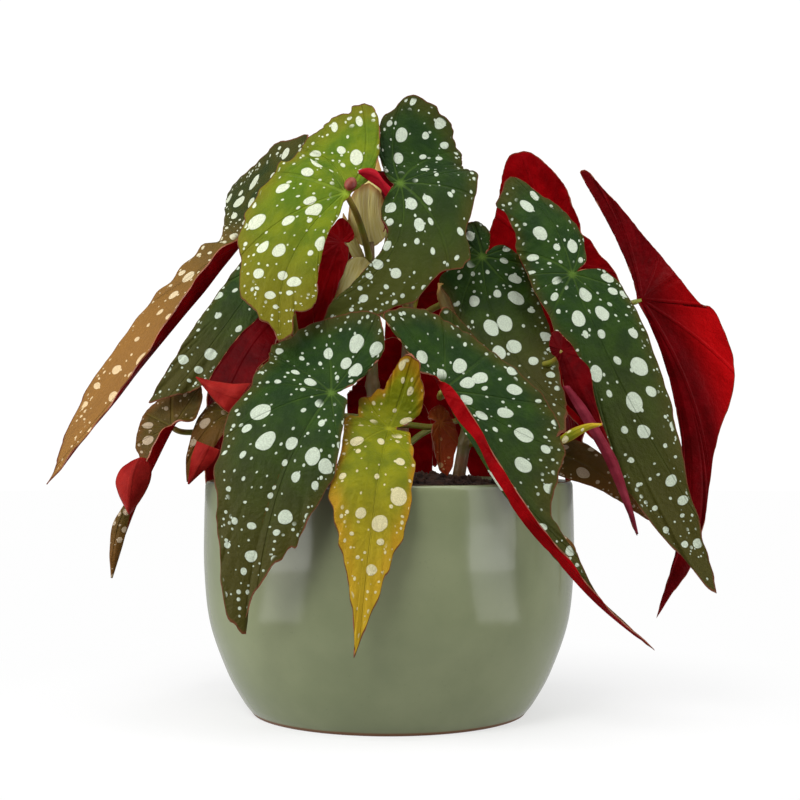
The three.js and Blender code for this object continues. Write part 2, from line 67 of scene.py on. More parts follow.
# Blades, in millimetres. A grid has rays round the root and rings out to the margin.
BLADE_THICKNESS = 0.55
BLADE_GRID = (300, 26)
SMALL_GRID = (150, 16)
SHEATH_GRID = (64, 12)
SHEATH_WAVES = 0.35  # how waved, where a large leaf is 1
SMALL_WAVES = 0.5
LOBE_RUN = 0.45  # how far the rib's direction carries into the lobe behind the root
LOBE_BLEND = 0.2  # the part of rib and lobe over which one turns into the other
FOLD_START = (-0.4, 0.12)  # the stretch of rib on which a fold opens
LEAST_CURL = 0.01  # degrees
VEINS = 10  # main veins round the root
VEIN_WARP, VEIN_BEND = 0.1, 0.0018  # how unevenly they spread, and how they bend outwards
FREE_ANCHORS = 20  # an outline with more anchors than this is already waved
EDGE_WAVES, WAVE_DEPTH, FOLLOWED_DEPTH = 26, 0.022, 0.004  # round the margin, parts of its reach
EDGE_TEETH, TOOTH_DEPTH = 84, 0.013
PUFF = 0.75  # how far the blade rises between two veins
PUFF_RUN = (4, 34)  # distances from the root over which the puffing sets in
FLATTER_OUT = 0.6  # how much of it goes again towards the margin
RIPPLES, RIPPLE = 34, 1.5  # up and down along the margin
SWAY, SWAY_SPAN, SWAY_RUN = 1.1, 26.0, (6, 30)  # slow ups and downs of the whole blade
STEP_ALONG, STEP_ACROSS = 0.01, 0.6  # for the slope of a blade
PROBE_ALONG, PROBE_ACROSS = 0.3, 0.25  # a place on the wide half that tells which side is up
OUTLINE_FINENESS = 12
SEED_STEP = 1.37  # from one leaf to the next
SHEATH_SEED = 50
BEFORE_THE_POT = {"front_left", "front", "front_right"}  # kept out of the glaze's reflections

# Spots and veins on the blades
BLADE_UV = 100.0  # millimetres in one unit of the blade's own coordinates
SPOT_SPAN = 60.0  # distance from the root at which the spots have their full size
SPOT_GROWTH = 0.28
LEAST_REACH = 0.2
SPOT_CROWDING = (0.35, 0.6)  # closer along and across towards the tip
CROWDED_RUN = (0.45, 1.0)
SPOT_SHIFT = 4.7  # so that no two leaves have the same spots

# Turned-over bits and the bud
FLAP_GRID = (48, 16)
FLAP_SPOTS = 1.6  # spots on the turned-over bits are smaller
FLAP_CRINKLE, CRINKLE_SPAN = 0.7, 6.0
FLAP_END = 0.02  # a part of its length
FLAP_FROM_ROOT = 30
BUD_SIZE = (2.6, 2.8, 3.1)
BUD_PLACE = (-16.7, -43.0, 235.7)
BUD_LEAN = 0.6

# Stalks and canes, in millimetres
STALK_RADIUS = 1.5
STALK_FLARE = (1.1, 0.85)  # at the cane and at the blade
STALK_TOP = 0.7
STALK_OUT = 0.24  # how a stalk leaves its cane and meets its blade, as parts of its length
STALK_UP = 0.3
STALK_ARRIVAL = 0.35
STALK_STEPS, STALK_SIDES = 40, 14
CANE_RADIUS = 3.4
CANE_TAPER = 0.35
CANE_STEPS, CANE_SIDES = 90, 24
JOINT_SWELL = 0.9
JOINT_PITCH = 26.0
SCAR_RIDGE = 0.25  # the ring that an old sheath leaves at a joint

# Canes: foot and head of each
CANES = {
    "middle": ((-6, 0, 72), (-9, -2, 216)),
    "right": ((26, -4, 72), (44, -2, 176)),
    "left": ((-30, 0, 72), (-42, 2, 168)),
    "rear": ((4, 28, 72), (10, 38, 196)),
}

# Pot and soil, in millimetres: pairs are radius and height
POT_OUTSIDE = [(63, 0), (67.8, 6.5), (75, 20), (82.5, 42), (85, 66), (85, 88), (84.5, 104)]
POT_LIP = [(84.2, 105.0), (83.5, 105.7), (82.4, 106.0), (81.2, 105.8), (80.3, 105.2), (79.7, 104.2)]
POT_FOOT = [(0, 0.6), (58, 0.6), (59.5, 0.0)]
POT_WALL = 5.0
POT_FLOOR = 7.0
BELOW_LIP = 103
POT_SIDES, POT_ROWS = 160, 61
SOIL_SIDES, SOIL_RINGS = 144, 60
SOIL_BASE = [(0, 40), (74, 40)]
SOIL_RADIUS = 79.2
SOIL_MOUND = (99, 10)  # height at the wall, and the rise to the middle
MOUND_REACH = 79.0
SOIL_LUMPS, LUMP_SPAN = 1.5, 9.0
CRUMBS = 520
CRUMB_SEED = 7
CRUMB_SIZES = (0.6, 2.1)
CRUMB_SQUASH = (0.6, 1.2)
CRUMB_DENTS = 0.25
CRUMB_LIFT = 0.2
CRUMB_FIELD = 77  # radius of the soil that they lie on

# Soft lights: place, target, width and height, watts
SOFTBOXES = {
    "left_panel": ((-0.504, -0.219, 0.26), (0, 0, 0.12), (0.5, 0.8), 3.8),
    "right_panel": ((0.481, -0.267, 0.26), (0, 0, 0.12), (0.33, 0.8), 2.4),
    "key_light": ((-0.5, -1.1, 1.3), (0, 0, 0.14), (0.6, 0.6), 13.0),
    "top_light": ((0.2, 0.1, 1.5), (0, 0, 0), (1.0, 1.0), 9.0),
}
SURROUND_LIT, SURROUND_SEEN = 0.2, 1.05
FLOOR_LIT, FLOOR_SEEN = 0.3, 0.99
FLOOR_MIRRORED, SIDE_HIGHLIGHT_GLOW = 0.25, 2.6  # glow of the floor seen only in reflections, and the extra glow of two side stretches that paints highlights on the glaze


@dataclass
class Leaf:
    """One leaf, in millimetres and degrees, laid out as its solid is."""

    name: str
    cane: str
    joint: float  # height on the cane
    hand: int  # 1 or -1: the side of the wide half
    root: tuple
    mid: tuple
    tip: tuple
    back: tuple  # end of the lobe behind the root
    face: tuple  # turn and rise of the upper side
    tip_face: tuple
    fold: tuple  # of the wide and the narrow half, along the rib
    curl: tuple
    wide: tuple  # reach of the two halves
    narrow: tuple
    notch: float
    look: str = "dark"
    tip_fold: tuple = None
    lobe_mid: tuple = None
    reach: tuple = None  # the way the stalk comes to the root


@dataclass
class Sheath:
    """A stalkless pointed oval at the growing end."""

    name: str
    root: tuple
    mid: tuple
    tip: tuple
    face: tuple
    tip_face: tuple
    fold: tuple
    curl: tuple
    wide: tuple
    narrow: tuple
    hand: int = 1
    tip_fold: tuple = None
    back: tuple = None
    lobe_mid: tuple = None


@dataclass
class Flap:
    """A turned-over bit of a blade, between two rails of points in millimetres."""

    name: str
    node: str
    skin: str
    bulge: float
    first: list
    second: list


LEAVES = [
    Leaf(
        "lime", "middle", 207, 1,
        root=(-19, -42, 232), mid=(-42, -56, 200), tip=(-45, -66, 166), back=(-12, -28, 276),
        face=(-12, 12), tip_face=(-5, 25), fold=(6, 4), curl=(-18, -15),
        wide=(29, 33, 31, 20, 11), narrow=(8, 6, 10, 16, 12), notch=4, look="lime",
    ),
    Leaf(
        "upper", "middle", 178, -1,
        root=(5, -32, 238), mid=(3, -44, 202), tip=(-29, -46, 175), back=(12, -20, 280),
        face=(10, 8), tip_face=(0, 20), fold=(4, 0), curl=(-18, -15),
        wide=(27, 33, 32, 22, 12), narrow=(8, 9, 8, 9, 5), notch=5, look="upper",
    ),
    Leaf(
        "front_left", "left", 140, 1,
        root=(-24, -72, 144), mid=(-47, -88, 102), tip=(-58, -88, 46), back=(-6, -62, 178),
        face=(-14, 18), tip_face=(-20, 5), fold=(8, 6), curl=(-20, -18),
        wide=(21, 31, 32, 23, 15), narrow=(9, 8, 17, 17, 6), notch=6,
    ),
    Leaf(
        "front_right", "right", 140, -1,
        root=(22, -68, 145), mid=(59.5, -82, 85.5), tip=(110, -70, 37), back=(-2, -60, 179),
        face=(10, 24), tip_face=(20, 5), fold=(4, 150), curl=(-18, 0),
        wide=(19, 35, 36, 7, 4), narrow=(8, 8, 9, 9, 5), notch=3,
        tip_fold=(4, 90),
    ),
    Leaf(
        "under_right", "right", 132, -1,
        root=(36, -50, 151), mid=(54, -61, 133), tip=(68, -64, 110), back=(24, -50, 182),
        face=(15, 12), tip_face=(20, 5), fold=(0, 0), curl=(-12, -10),
        wide=(10, 16, 14, 8, 5), narrow=(6, 6, 9, 6, 3), notch=3,
    ),
    Leaf(
        "middle_right", "right", 172, -1,
        root=(42, -20, 207), mid=(55, -34, 165), tip=(89, -64, 130), back=(39, -14, 224),
        face=(0, 15), tip_face=(15, 20), fold=(4, 4), curl=(-18, -18),
        wide=(6, 13, 24, 16, 6), narrow=(5, 8, 20, 16, 8), notch=3,
    ),
    Leaf(
        "right", "right", 160, 1,
        root=(81, -30, 198), mid=(104, -43, 128), tip=(142, -44, 58), back=(52, -17, 241),
        face=(14, 10), tip_face=(12, 0), fold=(2, 6), curl=(-24, -15),
        wide=(12, 16, 15, 8, 5), narrow=(11, 13, 25, 20, 10), notch=6,
    ),
    Leaf(
        "rear_right", "right", 172, 1,
        root=(78, 6, 208), mid=(97, 4, 152), tip=(115, 2, 111), back=(61, 2, 259),
        face=(165, 10), tip_face=(165, 0), fold=(0, 0), curl=(-18, -18),
        wide=(10, 18, 24, 16, 8), narrow=(18, 30, 34, 18, 8), notch=4,
    ),
    Leaf(
        "far_right", "rear", 178, 1,
        root=(120, 16, 191), mid=(144, 14, 113), tip=(125, 6, 41), back=(91, 22, 253),
        face=(175, 5), tip_face=(180, 0), fold=(0, 20), curl=(-10, 0),
        wide=(10.5, 16, 27, 8, 5.5), narrow=(1, 1, 2, 3, 4), notch=1.5,
        lobe_mid=(109.5, 19, 221),
        reach=(-0.9, 0.3, -0.3),
    ),
    Leaf(
        "far_left", "left", 162, 1,
        root=(-67, -8, 215), mid=(-108, -20, 161), tip=(-153, -26, 104), back=(-37, 0, 266),
        face=(-40, 35), tip_face=(-30, 20), fold=(10, 80), curl=(-15, 0),
        wide=(38, 34, 19, 21, 11), narrow=(8, 12, 15, 7, 5), notch=5,
        tip_fold=(0, 30), look="tan",
    ),
    Leaf(
        "left", "left", 152, 1,
        root=(-54, -24, 204), mid=(-78, -32, 171), tip=(-106, -34, 141), back=(-48, -18, 222),
        face=(-10, 25), tip_face=(-10, 10), fold=(0, 0), curl=(-12, -12),
        wide=(8, 11, 12, 8, 4), narrow=(8, 10, 22, 16, 8), notch=4,
    ),
    Leaf(
        "low_left", "left", 122, 1,
        root=(-95, -34, 130), mid=(-107, -42, 102), tip=(-121, -40, 65), back=(-84, -30, 149),
        face=(-10, 20), tip_face=(-20, 0), fold=(0, 100), curl=(-12, 0),
        wide=(10, 16, 12, 6, 4), narrow=(6, 6, 8, 14, 3), notch=3,
        tip_fold=(0, 100), look="brown",
    ),
    Leaf(
        "folded_left", "left", 146, -1,
        root=(-42, -38, 186), mid=(-59, -46, 163), tip=(-68, -56, 136), back=(-37, -32, 197),
        face=(175, -10), tip_face=(170, -40), fold=(0, 0), curl=(-8, -8),
        wide=(5, 7, 9, 14, 8), narrow=(5, 6, 7, 8, 5), notch=3,
    ),
    Leaf(
        "small_left", "left", 128, 1,
        root=(-68, -28, 137), mid=(-80, -34, 127), tip=(-89, -34, 106), back=(-62, -23, 147),
        face=(-10, 30), tip_face=(-10, 0), fold=(0, 20), curl=(-15, -30),
        wide=(7, 10, 10, 6, 3), narrow=(4, 5, 6, 6, 3), notch=3, look="brown",
    ),
    Leaf(
        "front", "middle", 118, 1,
        root=(0, -70, 129), mid=(-7, -92, 97), tip=(-14, -94, 38), back=(9, -79, 160),
        face=(0, 25), tip_face=(0, 5), fold=(8, 8), curl=(-14, -14),
        wide=(8, 16, 16, 12, 4), narrow=(8, 11, 12, 13, 5), notch=6, look="gold",
    ),
    Leaf(
        "inner_front", "middle", 124, -1,
        root=(22, -40, 132), mid=(23, -46, 120), tip=(25, -48, 109), back=(22, -38, 140),
        face=(10, 20), tip_face=(0, 0), fold=(0, 30), curl=(-15, 0),
        wide=(4, 6, 8, 5, 3), narrow=(4, 5, 5, 4, 3), notch=2, look="rust",
    ),
    Leaf(
        "low_right", "right", 120, 1,
        root=(70, -24, 120), mid=(93, -30, 110), tip=(115, -30, 89), back=(65, -18, 127),
        face=(-10, 35), tip_face=(0, 20), fold=(0, 0), curl=(-12, -12),
        wide=(6, 8, 10, 6, 3), narrow=(6, 6, 10, 7, 4), notch=2, look="brown",
    ),
    Leaf(
        "folded_right", "right", 148, -1,
        root=(74, -53, 163), mid=(88, -57, 131), tip=(105, -58, 84), back=(71, -49, 171),
        face=(150, -5), tip_face=(120, 0), fold=(10, 45), curl=(0, 0),
        wide=(4, 7, 9, 4, 2), narrow=(2, 3, 5, 3, 2), notch=2,
        reach=(-0.1, 0.8, -0.6),
    ),
    Leaf(
        "inner_left", "left", 160, -1,
        root=(-22, -14, 214), mid=(-27, -22, 196), tip=(-33, -26, 172), back=(-22, -10, 226),
        face=(170, -10), tip_face=(170, 0), fold=(0, 0), curl=(-15, -15),
        wide=(5, 7, 7, 5, 3), narrow=(4, 6, 6, 5, 3), notch=2,
        reach=(0.2, 0.6, -0.6),
    ),
    Leaf(
        "rear_high", "rear", 176, 1,
        root=(14, 64, 198), mid=(18, 90, 158), tip=(25, 104, 110), back=(8, 48, 224),
        face=(178, 20), tip_face=(178, 0), fold=(6, 4), curl=(-18, -15),
        wide=(16, 26, 28, 20, 11), narrow=(10, 10, 18, 17, 9), notch=5,
    ),
    Leaf(
        "rear_high_left", "rear", 174, -1,
        root=(-36, 52, 206), mid=(-58, 74, 164), tip=(-70, 84, 112), back=(-18, 36, 230),
        face=(-145, 20), tip_face=(-150, 0), fold=(6, 4), curl=(-18, -15),
        wide=(14, 24, 26, 18, 10), narrow=(10, 9, 16, 15, 8), notch=5,
    ),
    Leaf(
        "rear_high_right", "rear", 168, 1,
        root=(58, 50, 200), mid=(80, 68, 158), tip=(94, 76, 108), back=(42, 38, 224),
        face=(145, 20), tip_face=(150, 0), fold=(6, 4), curl=(-18, -15),
        wide=(14, 23, 25, 17, 9), narrow=(10, 9, 16, 15, 8), notch=5,
    ),
    Leaf(
        "rear_low", "rear", 136, -1,
        root=(6, 74, 148), mid=(6, 96, 106), tip=(10, 100, 52), back=(0, 58, 176),
        face=(180, 20), tip_face=(180, 0), fold=(6, 4), curl=(-18, -15),
        wide=(16, 26, 27, 19, 10), narrow=(10, 9, 17, 16, 8), notch=5,
    ),
    Leaf(
        "rear_low_left", "rear", 124, 1,
        root=(-48, 62, 140), mid=(-62, 82, 98), tip=(-68, 86, 48), back=(-34, 46, 166),
        face=(-150, 20), tip_face=(-155, 0), fold=(6, 4), curl=(-18, -15),
        wide=(13, 22, 22, 15, 8), narrow=(9, 8, 14, 13, 7), notch=4,
    ),
    Leaf(
        "rear_low_right", "rear", 118, -1,
        root=(52, 64, 140), mid=(62, 84, 98), tip=(64, 86, 50), back=(38, 48, 166),
        face=(150, 20), tip_face=(160, 0), fold=(6, 4), curl=(-18, -15),
        wide=(13, 22, 22, 15, 8), narrow=(9, 8, 14, 13, 7), notch=4,
    ),
    Leaf(
        "side_left", "left", 134, -1,
        root=(-74, 26, 166), mid=(-84, 38, 126), tip=(-84, 42, 84), back=(-62, 18, 190),
        face=(-110, 20), tip_face=(-110, 0), fold=(6, 4), curl=(-18, -15),
        wide=(12, 20, 20, 14, 8), narrow=(8, 8, 14, 13, 7), notch=4,
    ),
    Leaf(
        "side_right", "right", 126, 1,
        root=(80, 30, 160), mid=(89, 40, 130), tip=(86, 42, 102), back=(70, 22, 180),
        face=(105, 20), tip_face=(110, 0), fold=(6, 4), curl=(-18, -15),
        wide=(12, 18, 18, 13, 7), narrow=(8, 8, 12, 10, 5), notch=4,
    ),
    Leaf(
        "crown", "rear", 188, 1,
        root=(0, 30, 243), mid=(4, 48, 237), tip=(8, 66, 219), back=(-4, 12, 249),
        face=(178, 65), tip_face=(178, 35), fold=(6, 4), curl=(-18, -15),
        wide=(14, 24, 24, 16, 9), narrow=(9, 9, 15, 14, 7), notch=4,
    ),
]

SHEATHS = [
    Sheath(
        "stipule_tall",
        root=(-8, -2, 214), mid=(-10, -5, 231), tip=(-9, -4, 243),
        face=(0, 0), tip_face=(0, 10), fold=(20, 20), curl=(-45, -45),
        wide=(9, 9, 6), narrow=(9, 9, 6),
    ),
    Sheath(
        "stipule_rear",
        root=(-9, 0, 214), mid=(-9, 5, 236), tip=(-5, 5, 256),
        face=(0, 0), tip_face=(0, 0), fold=(10, 10), curl=(-50, -50),
        wide=(3, 5, 4), narrow=(3, 5, 4),
    ),
    Sheath(
        "stipule_side",
        root=(-10, -1, 204), mid=(-17, -4, 215), tip=(-21, -6, 229),
        face=(-20, 0), tip_face=(-20, 0), fold=(10, 10), curl=(-40, -40),
        wide=(2, 3, 2), narrow=(2, 3, 2),
    ),
    Sheath(
        "stipule_hanging",
        root=(-9, -3, 207), mid=(-14, -14, 196), tip=(-21, -25, 176),
        face=(10, 10), tip_face=(0, 20), fold=(10, 10), curl=(-25, -25),
        wide=(7, 10, 6), narrow=(6, 8, 5),
    ),
    Sheath(
        "stipule_right",
        root=(40, -3, 158), mid=(30, -15, 182), tip=(22, -22, 195),
        face=(0, 20), tip_face=(0, 10), fold=(10, 10), curl=(-40, -40),
        wide=(3, 5, 4), narrow=(3, 5, 4),
    ),
    Sheath(
        "leaf_young",
        root=(-5.7, -1.2, 215.2), mid=(3, -10, 241), tip=(-17, -19, 243),
        face=(60, -40), tip_face=(0, -60), fold=(20, 20), curl=(10, 10),
        wide=(2, 4, 5), narrow=(2, 4, 4),
    ),
]

SMALL = {
    "under_right", "low_left", "folded_left", "small_left",
    "inner_front", "low_right", "folded_right", "inner_left",
}
FUSED = {"folded_right": "middle_right"}  # leaves whose solid is part of another leaf's node

# Margins followed point by point: parts of the rib, or of the lobe below 0, and millimetres across
MARGINS = {
    "lime": [
        (1, 0), (0.99, 1.4), (0.94, 2.2), (0.9, 3.9), (0.88, 5.6), (0.87, 8), (0.82, 9.5), (0.78, 13.4),
        (0.75, 16.1), (0.71, 17.6), (0.63, 19.2), (0.55, 21.5), (0.5, 24.4), (0.47, 26.8), (0.42, 27.8),
        (0.37, 28.1), (0.34, 30.7), (0.3, 30), (0.25, 29.8), (0.21, 30.9), (0.17, 30.4), (0.12, 31.1),
        (0.1, 32.1), (0.07, 33), (0.04, 30.2), (-0.12, 32), (-0.35, 33.5), (-0.55, 33), (-0.76, 31.6),
        (-0.84, 25.3), (-0.87, 20.5), (-0.9, 20.1), (-0.91, 16.9), (-0.93, 15.2), (-0.93, 10.7),
        (-0.92, 6.4), (-0.97, 5.1), (-0.97, 2.3), (-0.96, -1.1), (-0.93, -4), (-0.88, -4.7),
        (-0.84, -5.3), (-0.74, -5.5), (-0.63, -5.6), (-0.55, -5.7), (-0.44, -5.4), (-0.33, -4.9),
        (-0.23, -4.2), (-0.12, -2.6), (-0.05, -1.9), (0.01, -2.9), (0.03, -2.8), (0.04, -2.7),
        (0.07, -3.7), (0.11, -5.5), (0.16, -6.5), (0.2, -7.2), (0.29, -9), (0.38, -10.9), (0.47, -12.5),
        (0.57, -13.9), (0.67, -15.5), (0.75, -15), (0.81, -13), (0.83, -9.8), (0.82, -6.8),
        (0.85, -6.2), (0.91, -5.7), (0.97, -5.1), (0.99, -2.2), (1, 0),
    ],
    "upper": [
        (1, 0), (0.9, 3.4), (0.83, 7.5), (0.75, 10.9), (0.7, 12), (0.67, 13.2), (0.62, 16.7),
        (0.58, 17.1), (0.54, 17.3), (0.49, 18.3), (0.45, 20), (0.42, 23.6), (0.4, 27.4), (0.38, 28.4),
        (0.36, 30), (0.35, 29.8), (0.31, 28.2), (0.28, 26.8), (0.25, 26.5), (0.21, 27.6), (0.16, 29.9),
        (0.12, 31.7), (0.1, 33.5), (0.06, 35), (0.02, 36.1), (-0.03, 35.4), (-0.09, 32.5),
        (-0.61, 30.7), (-0.73, 27), (-0.8, 24), (-0.88, 22.6), (-0.93, 20.6), (-0.96, 17.5),
        (-0.96, 13.7), (-1, 10), (-1, 5.6), (-1, 2.4), (-0.99, -0.5), (-0.95, -3), (-0.89, -4.8),
        (-0.84, -5.4), (-0.8, -6.1), (-0.76, -7.9), (-0.71, -9.4), (-0.63, -9.7), (-0.55, -9.6),
        (-0.46, -9.1), (-0.36, -7.9), (-0.27, -6.8), (-0.15, -5.6), (-0.07, -4.5), (0, -3.1),
        (0.02, -5.5), (0.05, -7.8), (0.09, -9.8), (0.15, -11.2), (0.23, -10.7), (0.31, -7.8),
        (0.37, -7.9), (0.43, -8), (0.47, -7.9), (0.56, -8.5), (0.66, -9), (0.74, -8.9), (0.8, -8.3),
        (0.86, -7.5), (0.91, -6.3), (0.95, -4.2), (1, 0),
    ],
    "front_left": [
        (1, 0), (0.99, 2.9), (0.96, 7.3), (0.94, 9.3), (0.89, 11), (0.85, 12.9), (0.8, 14.4),
        (0.74, 15.8), (0.69, 18.5), (0.63, 20.8), (0.58, 21.9), (0.52, 25.5), (0.47, 28.5),
        (0.42, 28.4), (0.36, 30.2), (0.31, 32.5), (0.25, 33.9), (0.19, 33.3), (0.15, 32.9),
        (0.12, 32.9), (0.08, 34.6), (0.03, 33.7), (-0.05, 34.4), (-0.28, 40.3), (-0.39, 38.7),
        (-0.48, 34.9), (-0.64, 31.5), (-0.74, 26.7), (-0.82, 20.5), (-0.9, 14.4), (-0.95, 9.4),
        (-1, 3.3), (-1, -1.9), (-0.97, -3.2), (-0.87, -6.5), (-0.76, -9), (-0.69, -9.8), (-0.58, -9.2),
        (-0.48, -8.4), (-0.37, -7.4), (-0.27, -6.2), (-0.17, -4.8), (-0.09, -3.1), (-0.04, -2.1),
        (-0.03, -4.4), (-0.03, -7.1), (0.03, -9.4), (0.09, -12.9), (0.15, -15), (0.21, -17.4),
        (0.28, -19.5), (0.34, -21.3), (0.39, -20.2), (0.46, -19.8), (0.53, -18.1), (0.59, -17),
        (0.63, -16.2), (0.67, -16.1), (0.67, -13.6), (0.72, -11.3), (0.75, -8), (0.8, -5.9),
        (0.85, -2.5), (0.89, -0.7), (0.93, 0.2), (0.96, 1.1), (0.98, 2), (1, 0),
    ],
    "front": [
        (1, 0), (0.96, 0.2), (0.92, 1.1), (0.87, 2.4), (0.83, 4), (0.77, 5.7), (0.74, 7.2), (0.69, 8.8),
        (0.66, 11), (0.62, 11.2), (0.57, 14), (0.52, 15.3), (0.48, 17.9), (0.42, 17.8), (0.36, 17.3),
        (0.3, 16.8), (0.21, 16.8), (0.09, 17.8), (-0.04, 19.7), (-0.14, 18), (-0.14, 14.4),
        (-0.28, 15.6), (-0.39, 16.5), (-0.44, 13), (-0.46, 11.6), (-0.57, 9.9), (-0.59, 6.9),
        (-0.67, 6.8), (-0.77, 5.6), (-0.83, 5.1), (-0.9, 4.1), (-0.95, 3.1), (-0.99, 0.8),
        (-0.98, -1.5), (-0.95, -4.6), (-0.84, -6.5), (-0.74, -9.2), (-0.61, -10.1), (-0.47, -10.5),
        (-0.37, -9.1), (-0.25, -7.2), (-0.18, -5.9), (-0.08, -3.1), (0, -3.6), (0, -6.3), (0.01, -9.1),
        (0.1, -10.7), (0.15, -12.4), (0.2, -12.9), (0.24, -14.5), (0.32, -14.6), (0.38, -14.5),
        (0.44, -15.3), (0.51, -15.2), (0.57, -14.1), (0.61, -14.2), (0.64, -12.2), (0.67, -10.8),
        (0.72, -10.4), (0.75, -9), (0.78, -8), (0.82, -7.5), (0.85, -6), (0.88, -4.6), (0.92, -3.6),
        (0.95, -2.1), (0.98, -1), (1, 0),
    ],
    "front_right": [
        (1, 0), (0.9, 1.2), (0.8, 2), (0.72, 4), (0.66, 6.5), (0.62, 9), (0.58, 9.3), (0.55, 9.7),
        (0.53, 10.2), (0.52, 10.9), (0.49, 11.1), (0.46, 15), (0.42, 21.8), (0.39, 27.1), (0.35, 34.1),
        (0.29, 37.3), (0.24, 40.8), (0.19, 42.1), (0.11, 41.8), (0.06, 39.7), (0, 36.6), (-0.12, 33.7),
        (-0.23, 29.6), (-0.37, 26.5), (-0.5, 22.8), (-0.61, 19.9), (-0.73, 17.2), (-0.84, 13),
        (-0.94, 6.6), (-0.99, -0.7), (-0.88, -3.4), (-0.74, -3.7), (-0.58, -3.7), (-0.39, -3.2),
        (-0.24, -6), (-0.1, -2.9), (-0.03, -3.4), (0.08, -6.4), (0.25, -6), (0.6, -5.2), (0.85, -3.2),
        (1, 0),
    ],
    "middle_right": [
        (0.93, -12), (0.89, -6), (0.85, -1.2), (0.81, 2.5), (0.72, 8.4), (0.65, 13.7), (0.57, 18.3),
        (0.5, 19.6), (0.41, 21.6), (0.31, 21.9), (0.22, 21.8), (0.14, 20.7), (0.05, 18), (-0.04, 16.2),
        (-0.19, 12.7), (-0.27, 8.5), (-0.23, 5.4), (-0.08, 1.7), (-0.25, 3.4), (-0.47, 4.4),
        (-0.67, 4.8), (-0.89, 2.4), (-1, -0.2), (-1, -3.7), (-0.7, -7), (-0.24, -7.5), (0.02, -9.3),
        (0.05, -14.2), (0.07, -18.7), (0.1, -20.7), (0.14, -19.2), (0.18, -17.4), (0.22, -17.2),
        (0.33, -15.6), (0.45, -14.2), (0.59, -13.6), (0.76, -15.2), (0.88, -16.7), (0.92, -16.5),
        (0.93, -12),
    ],
    "right": [
        (1, 0), (0.98, 1.8), (0.93, 3.4), (0.87, 4.5), (0.81, 7.3), (0.76, 8.9), (0.72, 9.9),
        (0.66, 11.2), (0.61, 11.2), (0.55, 11), (0.49, 10.6), (0.44, 10.4), (0.38, 9.8), (0.32, 9.1),
        (0.27, 8.5), (0.23, 10), (0.19, 14), (0.16, 14.8), (0.11, 15.2), (0.06, 17.4), (0, 19),
        (-0.17, 19.2), (-0.33, 19.1), (-0.49, 17.8), (-0.6, 14.2), (-0.71, 12.8), (-0.81, 10.8),
        (-0.91, 11.1), (-0.94, 8.1), (-0.97, 2.9), (-1, -0.8), (-1, -4), (-0.95, -6), (-0.89, -7.1),
        (-0.76, -7.4), (-0.68, -9.2), (-0.58, -10.4), (-0.48, -11.5), (-0.38, -12.3), (-0.29, -11.9),
        (-0.18, -10.1), (-0.1, -8.3), (-0.06, -5.4), (-0.02, -2.3), (-0.03, -6.6), (-0.02, -12.9),
        (0.01, -17.2), (0.04, -21.5), (0.08, -23), (0.12, -24.4), (0.17, -25.4), (0.22, -26.2),
        (0.29, -25.9), (0.34, -25.7), (0.4, -24.7), (0.46, -24), (0.51, -22.5), (0.58, -19.8),
        (0.64, -16.6), (0.69, -13.9), (0.75, -12.3), (0.81, -10.5), (0.86, -7.2), (0.9, -6.1),
        (0.96, -3.2), (1, 0),
    ],
    "rear_right": [
        (1, 0), (0.82, 13), (0.63, 20.4), (0.44, 24.9), (0.29, 26.6), (0.18, 26.4), (0.12, 26.3),
        (0.07, 24.3), (0.02, 20.8), (-0.11, 18), (-0.17, 15.8), (-0.31, 16.3), (-0.44, 15.9),
        (-0.56, 15.5), (-0.66, 14.4), (-0.78, 11.6), (-0.86, 9.2), (-0.95, 5.2), (-1, 0.1), (-1, -5.2),
        (-0.93, -9), (-0.86, -11.5), (-0.76, -14.6), (-0.65, -17.7), (-0.54, -22), (-0.45, -25.5),
        (-0.34, -27.6), (-0.22, -27), (-0.02, -4), (0.08, -27), (0.25, -34), (0.6, -18), (0.85, -8),
        (1, 0),
    ],
    "far_right": [
        (1, 0), (0.92, 1.3), (0.82, 5.2), (0.71, 6.3), (0.67, 6.8), (0.6, 7), (0.48, 9.9), (0.39, 15.3),
        (0.32, 22.6), (0.24, 27.5), (0.15, 28.2), (0.09, 27.2), (0.05, 22.5), (-0.18, 17),
        (-0.43, 11.2), (-0.68, 7.5), (-0.85, 4.8), (-0.91, 4.2), (-0.98, 3.5), (-1, 0.8), (-0.95, -0.2),
        (-0.79, -0.9), (-0.47, -1.2), (-0.14, -1.3), (-0.03, -2), (0.02, -1.8), (0.09, -2.3),
        (0.2, -3.3), (0.32, -4.2), (0.45, -4.8), (0.55, -4.6), (0.63, -4.3), (0.73, -4), (0.8, -3.4),
        (0.87, -2.8), (0.93, -2.1), (1, 0),
    ],
    "far_left": [
        (1, 0), (0.98, 0.6), (0.94, 2.7), (0.89, 8), (0.84, 11.6), (0.78, 15.8), (0.72, 19.5),
        (0.65, 21.4), (0.59, 23.7), (0.51, 24.7), (0.44, 26.1), (0.36, 26.3), (0.29, 26.5),
        (0.23, 25.1), (0.17, 25.8), (0.14, 25.1), (0.1, 21.9), (0.06, 22.3), (0.04, 18.3), (0.02, 14.6),
        (-0.06, 19.3), (-0.21, 29.3), (-0.36, 45.1), (-0.53, 60.1), (-0.6, 53.8), (-0.66, 43.8),
        (-0.79, 33.7), (-0.9, 22.9), (-0.95, 13.9), (-0.99, 7.3), (-1, 1.1), (-0.85, -5), (-0.6, -9),
        (-0.22, -12), (-0.02, -5), (0.08, -9), (0.25, -9.5), (0.45, -8), (0.6, -7.5), (0.75, -7),
        (0.85, -6), (0.93, -3.5), (1, 0),
    ],
    "folded_left": [
        (1, 0), (0.95, 5.6), (0.88, 10.9), (0.82, 12.9), (0.68, 11.5), (0.55, 10.1), (0.41, 8.4),
